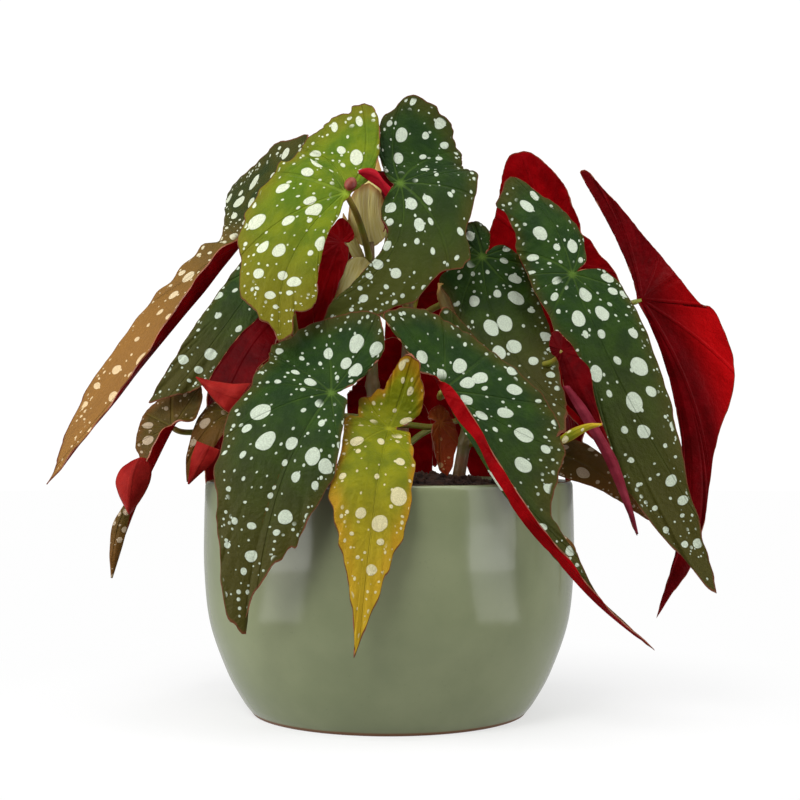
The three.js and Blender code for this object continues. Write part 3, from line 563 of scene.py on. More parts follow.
        (0.28, 6.5), (0.08, 5), (-0.5, 5), (-0.9, 3), (-1, 0), (-0.9, -3), (-0.5, -5), (-0.05, -4),
        (0.12, -6), (0.29, -6.4), (0.42, -8), (0.54, -8.3), (0.62, -6.2), (0.75, -6.4), (0.89, -4),
        (1, 0), (1, 0),
    ],
    "folded_right": [
        (1, 0), (0.81, 0.2), (0.71, 1), (0.62, 2.5), (0.51, 4.7), (0.41, 7.5), (0.34, 9.9), (0.26, 8.4),
        (0.16, 5.8), (0.04, 4.1), (-0.1, 5), (-0.6, 4), (-0.9, 2), (-1, 0), (-0.9, -2), (-0.6, -3),
        (0.02, -5), (0.1, -5.4), (0.2, -7.2), (0.33, -4.4), (0.46, -2.7), (0.58, -2.4), (0.67, -1.8),
        (0.79, -1.2), (0.91, -0.4), (1, 0.5), (1, 0),
    ],
    "low_left": [
        (1, 0), (0.9, 2.8), (0.75, 3.1), (0.62, 3.4), (0.5, 4), (0.38, 6), (0.29, 8.5), (0.25, 12),
        (0.2, 13.5), (0.12, 15), (0, 16.5), (-0.2, 16), (-0.5, 12), (-0.8, 6), (-0.93, 3), (-1, 0),
        (-0.93, -3), (-0.7, -6), (-0.22, -7), (-0.02, -3), (0.08, -6), (0.25, -7), (0.5, -6), (0.7, -4),
        (0.85, -2), (1, 0), (1, 0),
    ],
}

FLAPS = [
    Flap(
        "flap_folded_left", "leaf_folded_left", "coral", 2,
        [(-82.8, -50, 151.6), (-75.5, -54, 149.7), (-66.5, -58, 148.3), (-58.3, -60, 148.6)],
        [(-82.4, -50, 151.2), (-77, -55, 145), (-71.9, -59, 139.8), (-66.7, -60, 135.6)],
    ),
    Flap(
        "bulb_low_left", "leaf_low_left", "coral", 6,
        [
            (-109.2, -44, 116.3), (-115.3, -46, 112.5), (-117.7, -47, 106.9),
            (-116.8, -47, 102.1), (-114.7, -47, 97.4), (-112.3, -46, 93),
        ],
        [
            (-104.8, -44, 116.3), (-102.8, -46, 112.5), (-103, -47, 107.3),
            (-105.2, -47, 102.1), (-108.2, -47, 97.4), (-111.8, -46, 93),
        ],
    ),
    Flap(
        "tip_low_left", "leaf_low_left", "brown", 1.5,
        [(-114.6, -45, 96.5), (-119.4, -45, 87.8), (-120.7, -45, 77), (-120.4, -44, 64.8)],
        [(-111.4, -46, 95.2), (-113.1, -46, 86.6), (-115.7, -46, 77.1), (-120, -44, 64.8)],
    ),
    Flap(
        "flap_small_left", "leaf_small_left", "coral", 1.5,
        [(-87.9, -38, 105.3), (-86.9, -39, 112.3), (-86, -39, 118), (-84, -38, 124.1)],
        [(-87.5, -38, 105.3), (-81.1, -40, 111), (-76.3, -40, 115), (-73.7, -40, 120.2)],
    ),
    Flap(
        "ridge_folded_right", "leaf_middle_right", "rose", 2,
        [
            (73.8, -57, 147.5), (80, -58, 136.4), (85.8, -59, 126.3), (90.8, -60, 117),
            (95.2, -61, 106.9), (99.9, -61, 95.9), (104.7, -60, 84.9),
        ],
        [
            (76.4, -57, 147.5), (84.3, -58, 137.3), (90.9, -59, 125.8), (96.2, -60, 116.1),
            (99.5, -61, 105.6), (102.8, -61, 94.2), (105.1, -60, 84.9),
        ],
    ),
    Flap(
        "tip_middle_right", "leaf_middle_right", "gold", 1.5,
        [(71.7, -64, 125.8), (76.6, -65, 129.2), (83.2, -66, 131.3), (89, -66, 131.3)],
        [(72.1, -64, 122.5), (76.6, -65, 124.6), (83.2, -66, 128.8), (89, -66, 130.9)],
    ),
    Flap(
        "bend_front_right", "leaf_front_right", "brown", 1,
        [(64.7, -78, 90.6), (68.4, -78, 86.9), (72.6, -77, 84.8), (76.3, -77, 80.7), (77.3, -76, 74.4)],
        [(63.9, -78, 87.7), (66.8, -78, 83.2), (70.2, -77, 79.4), (73.9, -77, 75.3), (77.7, -76, 71.6)],
    ),
    Flap(
        "fold_young", "leaf_young", "young", 2,
        [
            (-13.6, -44, 241.1), (-9.6, -42, 242.6), (-5.8, -40, 242.1),
            (-2.6, -38, 238.3), (0.9, -38, 234.8),
        ],
        [
            (-13.4, -44, 240.2), (-10.8, -43, 238.7), (-7.1, -41, 236.4),
            (-3.5, -39, 234.2), (-1.3, -38, 231.3),
        ],
    ),
    Flap(
        "fold_upper", "leaf_upper", "rose", 1,
        [(-3.5, -38, 222.5), (-0.4, -37, 221.8), (1.3, -38, 218.2), (3.7, -39, 215)],
        [(-3.1, -37, 221.4), (-1.3, -37, 217.4), (-0.2, -38, 214.2), (1.3, -39, 211.9)],
    ),
]

# ---------------------------------------------------------------- finishes


def tint(red, green, blue):
    """A colour given on the 0 to 255 scale of a picture, as linear RGBA."""
    channels = [c / 255 for c in (red, green, blue)]
    linear = [c / 12.92 if c <= 0.04045 else ((c + 0.055) / 1.055) ** 2.4 for c in channels]
    return (*linear, 1.0)


class Finish:
    """A node material, with a short call for each kind of node."""

    def __init__(self, name, **settings):
        self.material = bpy.data.materials.new(name)
        self.material.use_nodes = True
        self.tree = self.material.node_tree
        self.shader = self.tree.nodes["Principled BSDF"]
        for socket, value in settings.items():
            self.set(socket.replace("_", " "), value)

    def put(self, socket, value):
        if isinstance(value, bpy.types.NodeSocket):
            self.tree.links.new(value, socket)
        else:
            socket.default_value = value

    def set(self, socket, value):
        self.put(self.shader.inputs[socket], value)

    def node(self, kind, inputs, **settings):
        made = self.tree.nodes.new("ShaderNode" + kind)
        for key, value in settings.items():
            setattr(made, key, value)
        for key, value in inputs.items():
            self.put(made.inputs[key], value)
        return made

    def math(self, operation, a, b=0.0):
        return self.node("Math", {0: a, 1: b}, operation=operation).outputs[0]

    def times(self, a, b):
        return self.math("MULTIPLY", a, b)

    def ramp(self, value, low, high, start=0.0, end=1.0):
        """start up to low, end from high on, and a smooth step between them."""
        inputs = {0: value, 1: low, 2: high, 3: start, 4: end}
        return self.node("MapRange", inputs, interpolation_type="SMOOTHSTEP").outputs[0]

    def mix(self, factor, a, b):
        return self.node("Mix", {0: factor, 6: a, 7: b}, data_type="RGBA").outputs[2]

    def uv(self, layer):
        return self.node("UVMap", {}, uv_map=layer).outputs[0]

    def objects(self):
        return self.node("TexCoord", {}).outputs["Object"]

    def split(self, vector):
        return self.node("SeparateXYZ", {0: vector}).outputs

    def move(self, operation, vector, inputs):
        return self.node("VectorMath", {0: vector, **inputs}, operation=operation).outputs[0]

    def length(self, vector):
        return self.node("VectorMath", {0: vector}, operation="LENGTH").outputs["Value"]

    def noise(self, vector, scale, detail=3.0, roughness=0.55):
        inputs = {"Vector": vector, "Scale": scale, "Detail": detail, "Roughness": roughness}
        return self.node("TexNoise", inputs).outputs["Fac"]

    def bump(self, height, distance, under=None):
        inputs = {"Height": height, "Distance": distance}
        if under is not None:
            inputs["Normal"] = under
        return self.node("Bump", inputs).outputs[0]

    def grainy(self, vector, scale, smooth, rough, detail=3.0):
        """Sets a roughness that a fine grain moves between two values, and returns the grain."""
        grain = self.noise(vector, scale, detail)
        self.set("Roughness", self.ramp(grain, 0.2, 0.8, smooth, rough))
        return grain


def wobbled(finish, vector, scale, amount):
    """The coordinates, pushed about by noise so that outlines on them turn uneven."""
    push = finish.node("TexNoise", {"Vector": vector, "Scale": scale, "Detail": 1.0}).outputs["Color"]
    centred = finish.move("SUBTRACT", push, {1: (0.5, 0.5, 0.5)})
    scaled = finish.move("SCALE", centred, {"Scale": amount})
    return finish.move("ADD", vector, {1: scaled})


def dots(finish, vector, scale, least, size, share, soft, scatter, fade=None):
    """Round dots, one in each cell that chance picks: share of them, of radius least to size."""
    inputs = {"Vector": vector, "Scale": scale, "Randomness": scatter}
    cell = finish.node("TexVoronoi", inputs, voronoi_dimensions="2D")
    chance = finish.node("SeparateColor", {0: cell.outputs["Color"]}).outputs
    radius = finish.ramp(finish.math("POWER", chance[0], 1.25), 0.0, 1.0, least, size)
    if fade is not None:
        radius = finish.times(radius, fade)
    inner = finish.math("SUBTRACT", radius, soft)
    outer = finish.math("ADD", radius, soft)
    dot = finish.ramp(cell.outputs["Distance"], inner, outer, 1.0, 0.0)
    return finish.times(dot, finish.math("LESS_THAN", chance[1], share))


def vein_lines(finish, blade, width):
    """The main veins: fading spokes round the root. Returns the lines and distance to the root."""
    x, y, _ = finish.split(blade)
    angle = finish.math("ARCTAN2", y, x)
    spoke = finish.math("PINGPONG", finish.times(angle, VEINS / (2 * pi)), 0.5)
    reach = finish.length(blade)
    away = finish.times(finish.times(spoke, 2 * pi / VEINS), reach)
    return finish.ramp(away, width * 0.35, width, 1.0, 0.0), reach


MAIN_SPOTS = dict(scale=5.0, least=0.1, size=0.33, share=0.97, soft=0.012, scatter=0.65)
SMALL_SPOTS = dict(scale=13.0, least=0.08, size=0.17, share=0.34, soft=0.025, scatter=0.9)
SPECKS = dict(scale=30.0, least=0.1, size=0.27, share=0.5, soft=0.03, scatter=0.9)
SPOT_DULLED = 0.72
TOP_RIM = (96, 52, 28)
UNDERSIDE_RIM = (130, 60, 40)


def spot_mask(finish, blade, ring, reach):
    """Where the white spots are: none at the root and the margin, with specks just inside it."""
    spots_at = wobbled(finish, finish.uv("spots"), 7.0, 0.035)
    smaller_out = finish.ramp(ring, 0.6, 1.0, 1.0, 0.62)
    main = dots(finish, spots_at, **MAIN_SPOTS, fade=smaller_out)
    small = dots(finish, spots_at, **SMALL_SPOTS)
    specks = finish.times(dots(finish, blade, **SPECKS), finish.ramp(ring, 0.84, 0.9))
    spotted = finish.math("MAXIMUM", main, finish.math("MAXIMUM", small, specks))
    spotted = finish.times(spotted, finish.ramp(reach, 0.05, 0.09))
    return finish.times(spotted, finish.ramp(ring, 0.95, 0.975, 1.0, 0.0))


def leaf_top(name, base, second, edge, tip, spot, vein, tip_start=0.75, tip_spot=None):
    """Mottled green with pale veins, a warmer margin and tip, white spots and a brown rim."""
    finish = Finish("leaf_top_" + name, Roughness=0.5, Specular_IOR_Level=0.12)
    blade, place = finish.uv("blade"), finish.uv("place")
    along, ring, _ = finish.split(place)
    lines, reach = vein_lines(finish, blade, 0.007)
    towards_tip = finish.ramp(along, tip_start - 0.22, tip_start + 0.2)

    mottle = finish.noise(blade, 9.0, 4.0)
    colour = finish.mix(finish.ramp(mottle, 0.35, 0.68), tint(*base), tint(*second))
    margin = finish.times(finish.ramp(ring, 0.74, 1.04), finish.ramp(mottle, 0.2, 0.75, 0.35, 1.0))
    colour = finish.mix(margin, colour, tint(*edge))
    colour = finish.mix(towards_tip, colour, tint(*tip))
    fading = finish.ramp(reach, 0.02, 0.3, 0.24, 0.03)
    colour = finish.mix(finish.times(lines, fading), colour, tint(*vein))
    star = finish.ramp(reach, 0.006, 0.032, 0.75, 0.0)
    colour = finish.mix(star, colour, tint(*vein))

    spotted = spot_mask(finish, blade, ring, reach)
    speckle = finish.noise(blade, 160.0, 2.0)
    dull = tuple(SPOT_DULLED * c for c in tint(*spot)[:3]) + (1.0,)
    spot_colour = finish.mix(finish.ramp(speckle, 0.25, 0.75), dull, tint(*spot))
    if tip_spot:
        spot_colour = finish.mix(towards_tip, spot_colour, tint(*tip_spot))
    colour = finish.mix(spotted, colour, spot_colour)
    colour = finish.mix(finish.ramp(ring, 0.985, 0.997), colour, tint(*TOP_RIM))
    finish.set("Base Color", colour)

    finish.grainy(blade, 70.0, 0.38, 0.62)
    relief = finish.math("SUBTRACT", finish.noise(blade, 38.0, 5.0, 0.65), finish.times(lines, 0.5))
    finish.set("Normal", finish.bump(spotted, 0.00012, finish.bump(relief, 0.0009)))
    return finish.material


def leaf_underside(name, deep, bright, vein, gloss=0.03, lit=None):
    """Crimson with faint veins; lit, when given, is painted light: a brighter red painted on the belly,
    where the light falls.
    """
    finish = Finish("leaf_underside_" + name, Roughness=0.45, Specular_IOR_Level=gloss)
    blade, place = finish.uv("blade"), finish.uv("place")
    ring = finish.split(place)[1]
    lines, reach = vein_lines(finish, blade, 0.012)
    mottle = finish.noise(blade, 7.0, 4.0, 0.6)
    colour = finish.mix(finish.ramp(mottle, 0.3, 0.72), tint(*deep), tint(*bright))
    # painted light: the belly is painted a brighter red where the light falls on it
    if lit:
        ahead, aside, _ = finish.split(blade)
        painted_lit_belly = finish.times(finish.ramp(aside, 0.04, 0.26), finish.ramp(ahead, -0.35, 0.25))
        colour = finish.mix(painted_lit_belly, colour, tint(*lit))
    fading = finish.ramp(reach, 0.05, 0.6, 0.1, 0.02)
    colour = finish.mix(finish.times(lines, fading), colour, tint(*vein))
    colour = finish.mix(finish.ramp(ring, 0.985, 1.0), colour, tint(*UNDERSIDE_RIM))
    finish.set("Base Color", colour)
    finish.grainy(blade, 60.0, 0.36, 0.58)
    relief = finish.math("ADD", finish.noise(blade, 24.0, 4.0, 0.55), finish.times(lines, 0.35))
    finish.set("Normal", finish.bump(relief, 0.0007))
    return finish.material


def mottled(name, first, second, scale, roughness, relief, grain_scale):
    """Two colours in soft patches with a fine grain, on the piece's own place."""
    finish = Finish(name, Roughness=roughness)
    where = finish.objects()
    patches = finish.noise(where, scale, 5.0, 0.6)
    finish.set("Base Color", finish.mix(finish.ramp(patches, 0.35, 0.65), tint(*first), tint(*second)))
    grain = finish.grainy(where, grain_scale, roughness * 0.8, min(1.0, roughness * 1.25), 4.0)
    finish.set("Normal", finish.bump(grain, relief))
    return finish.material


def stipule_finish():
    """Cream paper with fine fibres along it, browner at the margin."""
    finish = Finish("papery_stipule", Roughness=0.55, Specular_IOR_Level=0.1)
    stretched = {"Vector": finish.uv("blade"), "Scale": (6.0, 90.0, 1.0)}
    fibres = finish.noise(finish.node("Mapping", stretched).outputs[0], 1.0, 4.0)
    colour = finish.mix(finish.ramp(fibres, 0.3, 0.7), tint(236, 222, 126), tint(255, 246, 176))
    ring = finish.split(finish.uv("place"))[1]
    colour = finish.mix(finish.ramp(ring, 0.8, 1.0), colour, tint(196, 150, 84))
    finish.set("Base Color", colour)
    finish.set("Normal", finish.bump(fibres, 0.0006))
    return finish.material


def glaze_finish():
    """Sage glaze over stoneware, bare and brown on the turned foot."""
    gloss = dict(Roughness=0.16, Specular_IOR_Level=0.25, Coat_Weight=0.2, Coat_Roughness=0.06)
    finish = Finish("sage_glaze", **gloss)
    where = finish.objects()
    height = finish.split(where)[2]
    clouds = finish.noise(where, 22.0, 4.0)
    colour = finish.mix(finish.ramp(clouds, 0.3, 0.7), tint(122, 130, 96), tint(135, 142, 107))
    pinholes = finish.noise(where, 900.0, 2.0)
    colour = finish.mix(finish.ramp(pinholes, 0.64, 0.78, 0.0, 0.35), colour, tint(108, 116, 88))
    edge = finish.math("ADD", height, finish.times(clouds, 0.0008))
    foot = finish.ramp(edge, 0.0014, 0.0022, 1.0, 0.0)
    colour = finish.mix(foot, colour, tint(118, 84, 58))
    finish.set("Base Color", colour)
    finish.set("Roughness", finish.ramp(foot, 0.0, 1.0, gloss["Roughness"], 0.8))
    finish.set("Normal", finish.bump(finish.noise(where, 60.0, 2.0), 0.0002))
    return finish.material


DARK = dict(base=(20, 46, 5), second=(36, 62, 4), edge=(62, 58, 6), tip=(62, 58, 10))
LOOKS = {
    "dark": dict(**DARK, spot=(200, 211, 190), vein=(84, 112, 36)),
    "upper": dict(**DARK | {"tip": (62, 66, 10)}, spot=(206, 217, 196), vein=(96, 128, 44), tip_start=0.68),
    "lime": dict(
        base=(76, 104, 2), second=(108, 124, 4), edge=(110, 100, 8), tip=(112, 106, 8),
        spot=(222, 228, 200), vein=(144, 168, 48),
    ),
    "gold": dict(
        base=(98, 106, 2), second=(126, 128, 4), edge=(172, 112, 12), tip=(192, 158, 34),
        spot=(222, 212, 164), vein=(160, 162, 38), tip_start=0.84,
    ),
    "tan": dict(
        base=(36, 48, 12), second=(56, 58, 12), edge=(62, 58, 16), tip=(132, 92, 40),
        spot=(200, 206, 182), vein=(92, 96, 38), tip_start=0.56, tip_spot=(206, 180, 138),
    ),
    "brown": dict(
        base=(66, 54, 8), second=(82, 60, 12), edge=(100, 58, 16), tip=(100, 64, 18),
        spot=(180, 160, 132), vein=(108, 96, 28),
    ),
    "rust": dict(
        base=(124, 44, 6), second=(146, 68, 10), edge=(132, 32, 10), tip=(142, 48, 10),
        spot=(190, 142, 92), vein=(146, 78, 22),
    ),
}
tops = {look: leaf_top(look, **colours) for look, colours in LOOKS.items()}
underside = leaf_underside("deep_red", (112, 0, 4), (150, 4, 10), (170, 24, 30))
# far_right's underside: a darker deep red as painted shade, and a brighter belly as painted light
painted_light_and_shade_underside = leaf_underside("painted_light_and_shade_red", (78, 0, 2), (104, 0, 6), (116, 4, 8), 0.05, (178, 5, 9))
# a darker copy of the deep red underside: painted shade for the folded leaves that sit in shadow
painted_shade_underside = leaf_underside("painted_shade_red", (66, 0, 3), (92, 2, 6), (120, 18, 24))
coral = leaf_underside("coral", (116, 14, 14), (150, 36, 30), (170, 70, 54))
rose = leaf_underside("rose", (92, 18, 30), (132, 46, 60), (150, 74, 84))
young = leaf_underside("young", (140, 8, 24), (186, 30, 46), (196, 70, 70))
margin_finish = mottled("leaf_margin", (120, 62, 34), (150, 80, 44), 90.0, 0.5, 0.0002, 900.0)
stipule = stipule_finish()
bark = mottled("cane_skin", (104, 98, 46), (126, 84, 50), 60.0, 0.45, 0.0006, 420.0)
stalk_skin = mottled("stalk_skin", (118, 128, 26), (136, 112, 34), 45.0, 0.42, 0.0003, 700.0)
bud_skin = mottled("bud_skin", (112, 30, 20), (146, 62, 38), 160.0, 0.5, 0.0003, 800.0)
glaze = glaze_finish()
soil_finish = mottled("potting_mix", (44, 27, 20), (84, 56, 40), 140.0, 0.95, 0.0022, 520.0)

# far_right gets painted light and shade on its underside, and the two folded leaves get the painted-shade
# copy
UNDERSIDES = {
    "far_right": painted_light_and_shade_underside,
    "folded_left": painted_shade_underside,
    "folded_right": painted_shade_underside,
}
FLAP_FINISHES = {"coral": coral, "rose": rose, "young": young, **tops}

# ---------------------------------------------------------------- shapes


def curve_through(points, t):
    """Places on a smooth even curve through the points, at t from 0 to 1."""
    points = np.asarray(points, float)
    last = len(points) - 1
    padded = np.vstack([2 * points[0] - points[1], points, 2 * points[-1] - points[-2]])
    span = np.clip(np.asarray(t) * last, 0, last)
    index = np.minimum(span.astype(int), last - 1)
    w = (span - index)[:, None]
    before, a, b, after = (padded[index + k] for k in range(4))
    leave, arrive = 0.5 * (b - before), 0.5 * (after - a)
    cubic = 2 * a - 2 * b + leave + arrive
    square = -3 * a + 3 * b - 2 * leave - arrive
    return ((cubic * w + square) * w + leave) * w + a


def smoothstep(x, low, high):
    t = np.clip((x - low) / (high - low), 0, 1)
    return t * t * (3 - 2 * t)


def unit(v):
    return v / np.maximum(np.linalg.norm(v, axis=-1, keepdims=True), 1e-9)


def aim(turn, rise):
    """The way that something faces: turned to the right of the front, and raised, in degrees."""
    t, r = np.radians(turn), np.radians(rise)
    return np.array([sin(t) * cos(r), -cos(t) * cos(r), sin(r)])


def wing_outline(leaf):
    """A leaf's outline from its widths, given as MARGINS are."""
    wide, narrow = leaf.wide, leaf.narrow
    there = zip((0.85, 0.6, 0.25, -0.2, -0.7), wide[::-1])
    back = zip((-0.7, -0.22, 0.25, 0.6, 0.85), narrow)
    lobe_end, beside_root, *out = [(part, -reach) for part, reach in back]
    inner = [(-0.02, -leaf.notch), (0.08, -0.8 * narrow[2])]
    return [(1, 0), *there, (-1, 0), lobe_end, beside_root, *inner, *out, (1, 0)]


def oval_outline(sheath):
    parts = (0.15, 0.45, 0.8)
    there = zip(parts[::-1], sheath.wide[::-1])
    back = [(part, -reach) for part, reach in zip(parts, sheath.narrow)]
    return [(1, 0), *there, (0, 0), *back, (1, 0)]


class Blade:
    """A blade's surface: place() takes distances along and across the rib."""

    def __init__(self, leaf):
        anchors = (leaf.root, leaf.mid, leaf.tip, leaf.back or leaf.root)
        root, mid, tip, back = (np.array(anchor, float) for anchor in anchors)
        self.leaf = leaf
        self.length = np.linalg.norm(mid - root) + np.linalg.norm(tip - mid)
        self.lobe_length = np.linalg.norm(root - back)
        bend = 2 * mid - 0.5 * root - 0.5 * tip
        lobe_bend = root - unit(bend - root) * LOBE_RUN * self.lobe_length
        if leaf.lobe_mid:
            lobe_bend = 2 * np.array(leaf.lobe_mid, float) - 0.5 * root - 0.5 * back
        self.rib = (root, bend, tip)
        self.lobe = (root, lobe_bend, back)
        self.across_root = unit(unit(bend - root) + unit(root - lobe_bend))

    def place(self, along, across):
        leaf = self.leaf
        pick = (along < 0)[:, None]
        t = np.clip(np.abs(along), 0, 1)[:, None]
        a, b, c = (np.where(pick, q, p) for p, q in zip(self.rib, self.lobe))
        spot = (1 - t) ** 2 * a + 2 * (1 - t) * t * b + t**2 * c
        slope = (1 - t) * (b - a) + t * (c - b)
        tangent = unit(np.where(pick, -slope, slope))
        near = 1 - smoothstep(t, 0, LOBE_BLEND)
        tangent = unit(tangent * (1 - near) + self.across_root * near)
        to_tip = np.maximum(along, 0)
        up = (1 - to_tip)[:, None] * aim(*leaf.face) + to_tip[:, None] * aim(*leaf.tip_face)
        up = unit(up - (up * tangent).sum(1, keepdims=True) * tangent)
        side = np.cross(tangent, up) * leaf.hand
        half = (across < 0).astype(int)
        tip_fold = leaf.tip_fold or leaf.fold
        widths = np.array([max(leaf.wide), max(leaf.narrow)])[half]
        fold = np.radians((1 - to_tip) * np.array(leaf.fold)[half] + to_tip * np.array(tip_fold)[half])
        fold = fold * smoothstep(along, *FOLD_START)
        curl = np.array([c or LEAST_CURL for c in leaf.curl])[half]
        rate = np.radians(curl) / widths
        reach = np.abs(across)
        out = (np.sin(fold + rate * reach) - np.sin(fold)) / rate
        lift = (np.cos(fold) - np.cos(fold + rate * reach)) / rate
        out = np.where(half == 1, -out, out)
        return spot + side * out[:, None] + up * lift[:, None]

    def normal(self, along, across):
        ahead = self.place(along + STEP_ALONG, across) - self.place(along - STEP_ALONG, across)
        over = self.place(along, across + STEP_ACROSS) - self.place(along, across - STEP_ACROSS)
        return unit(np.cross(over, ahead)) * self.leaf.hand


def evenly_round(outline, blade, count):
    """Parts of the way round the outline, at even distances along it."""
    parts = np.linspace(0, 1, OUTLINE_FINENESS * count)
    loop = curve_through(outline, parts) * (blade.length, 1)
    steps = np.linalg.norm(np.diff(loop, axis=0), axis=1)
    gone = np.concatenate([[0], np.cumsum(steps)])
    return np.interp(np.linspace(0, gone[-1], count + 1), gone, parts)


def round_noise(turns, lobes, seed):
    """Noise that comes back to itself after a whole turn, about lobes waves long."""
    radius = lobes / 4.0
    return np.array([noise.noise((radius * cos(2 * pi * t), radius * sin(2 * pi * t), seed)) for t in turns])


def flat_grid(steps, rungs):
    """A flat grid, and how far along and across it each vertex is, from 0 to 1."""
    bm = bmesh.new()
    bmesh.ops.create_grid(bm, x_segments=steps, y_segments=rungs, size=1.0)
    flat = np.array([v.co[:] for v in bm.verts])
    return bm, (flat[:, 0] + 1) / 2, (flat[:, 1] + 1) / 2


def bend_grid(bm, spots, layers):
    """Gives the grid its UV layers, moves it to the spots in millimetres and closes its seams."""
    bm.verts.index_update()
    for layer, values in layers.items():
        uv = bm.loops.layers.uv.new(layer)
        for face in bm.faces:
            for loop in face.loops:
                loop[uv].uv = values[loop.vert.index]
    for vert, spot in zip(bm.verts, spots):
        vert.co = spot * MM
    bmesh.ops.remove_doubles(bm, verts=bm.verts, dist=MERGE)
    bm.normal_update()


def finish_piece(name, bm, materials, nodes, thickness=None):
    """Puts a bmesh in the scene as one piece that rides on the part."""
    bm.normal_update()
    mesh = bpy.data.meshes.new(name)
    bm.to_mesh(mesh)
    bm.free()
    mesh.shade_smooth()
    piece = bpy.data.objects.new(name, mesh)
    bpy.context.scene.collection.objects.link(piece)
    for material in materials:
        mesh.materials.append(material)
    if thickness:
        shell = piece.modifiers.new("thickness", "SOLIDIFY")
        shell.thickness = thickness * MM
        shell.offset = 0.0
        shell.use_rim = True
        shell.material_offset = 1
        shell.material_offset_rim = 2
    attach(piece, "root")
    if nodes:
        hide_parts(*nodes)
    return piece


def waved_margin(outline, blade, turn, rays, seed, waves):
    """The outline at each turn, with waves and teeth: parts of the rib and millimetres across."""
    depth = FOLLOWED_DEPTH if len(outline) > FREE_ANCHORS else WAVE_DEPTH
    teeth = TOOTH_DEPTH * round_noise(turn, EDGE_TEETH, seed + 3.3)
    ragged = depth * round_noise(turn, EDGE_WAVES, seed) + teeth
    stops = evenly_round(outline, blade, rays)
    return curve_through(outline, stops[np.round(turn * rays).astype(int)]) * (1 + waves * ragged)[:, None]


def face_upwards(bm, blade):
    """Turns the faces over where they point away from the blade's upper side."""
    probe = (np.array([PROBE_ALONG]), np.array([PROBE_ACROSS * max(blade.leaf.wide)]))
    spot = Vector(blade.place(*probe)[0] * MM)
    nearest = min(bm.faces, key=lambda f: (f.calc_center_median() - spot).length)
    if nearest.normal.dot(Vector(blade.normal(*probe)[0])) < 0:
        bmesh.ops.reverse_faces(bm, faces=bm.faces)


def blade_piece(name, leaf, outline, grid, materials, node, seed, waves):
    """A blade as a grid of rays round the root, bent, puffed between its veins and waved."""
    blade = Blade(leaf)
    bm, turn, ring = flat_grid(*grid)
    margin = waved_margin(outline, blade, turn, grid[0], seed, waves)
    along, across = margin[:, 0] * ring, margin[:, 1] * ring
    ahead = along * np.where(along < 0, blade.lobe_length, blade.length)
    reach = np.hypot(ahead, across)
    angle = np.arctan2(across, ahead)
    warped = angle + VEIN_WARP * np.sin(3 * angle + seed) + VEIN_BEND * reach * np.sin(angle)

    puff = 0.5 - 0.5 * np.cos(warped * VEINS)
    height = waves * PUFF * puff * smoothstep(reach, *PUFF_RUN) * (1 - FLATTER_OUT * ring**4)
    height += waves * RIPPLE * round_noise(turn, RIPPLES, seed + 7.7) * ring**4
    spots = blade.place(along, across)
    sway = np.array([noise.noise(Vector(p / SWAY_SPAN) + Vector((seed, 0, 0))) for p in spots])
    height += waves * SWAY * sway * smoothstep(reach, *SWAY_RUN)
    spots = spots + blade.normal(along, across) * height[:, None]

    shrink = np.maximum(reach, LEAST_REACH) ** -SPOT_GROWTH * SPOT_SPAN ** (SPOT_GROWTH - 1)
    crowded = smoothstep(along, *CROWDED_RUN)
    offset = SPOT_SHIFT * seed
    closer, tighter = (shrink * (1 + crowding * crowded) for crowding in SPOT_CROWDING)
    layers = {
        "spots": np.stack([ahead * closer + offset, across * tighter], 1),
        "blade": np.stack([reach * np.cos(warped), reach * np.sin(warped)], 1) / BLADE_UV,
        "place": np.stack([along / 2 + 0.5, ring], 1),
    }
    bend_grid(bm, spots, layers)
    face_upwards(bm, blade)
    for line in bm.edges:
        if line.is_boundary:
            line.smooth = False
    return finish_piece(name, bm, materials, [node], BLADE_THICKNESS)


def flap_piece(flap):
    """A turned-over bit of a blade: a sheet between two rails, bulged along its middle."""
    bm, part, rung = flat_grid(*FLAP_GRID)
    first, second = curve_through(flap.first, part), curve_through(flap.second, part)
    later, sooner = np.minimum(part + FLAP_END, 1), np.maximum(part - FLAP_END, 0)
    ahead = curve_through(flap.first, later) - curve_through(flap.first, sooner)
    out = unit(np.cross(flap.second[1] - np.array(flap.first[1]), ahead))
    out *= -np.sign(out[:, 1:2])
    spots = first + (second - first) * rung[:, None]
    crinkle = np.array([noise.noise(Vector(p / CRINKLE_SPAN)) for p in spots])
    height = flap.bulge * np.sin(pi * rung) * np.sin(pi * np.clip(part, FLAP_END, 1 - FLAP_END)) ** 0.5
    spots = spots + out * (height + FLAP_CRINKLE * crinkle)[:, None]
    length = np.linalg.norm(np.array(flap.first[-1]) - flap.first[0])
    width = np.linalg.norm(second - first, axis=1)
    along, across = FLAP_FROM_ROOT + part * length, (rung - 0.5) * width
    layers = {
        "spots": np.stack([along, across], 1) / SPOT_SPAN * FLAP_SPOTS,
        "blade": np.stack([along, across], 1) / BLADE_UV,
        "place": np.stack([0.5 + part / 2, np.abs(2 * rung - 1)], 1),
    }
    bend_grid(bm, spots, layers)
    if sum(face.normal.y * face.calc_area() for face in bm.faces) > 0:
        bmesh.ops.reverse_faces(bm, faces=bm.faces)
    skin = FLAP_FINISHES[flap.skin]
    piece = finish_piece(flap.name, bm, [skin, skin, margin_finish], [flap.node], BLADE_THICKNESS)
    piece.visible_glossy = False


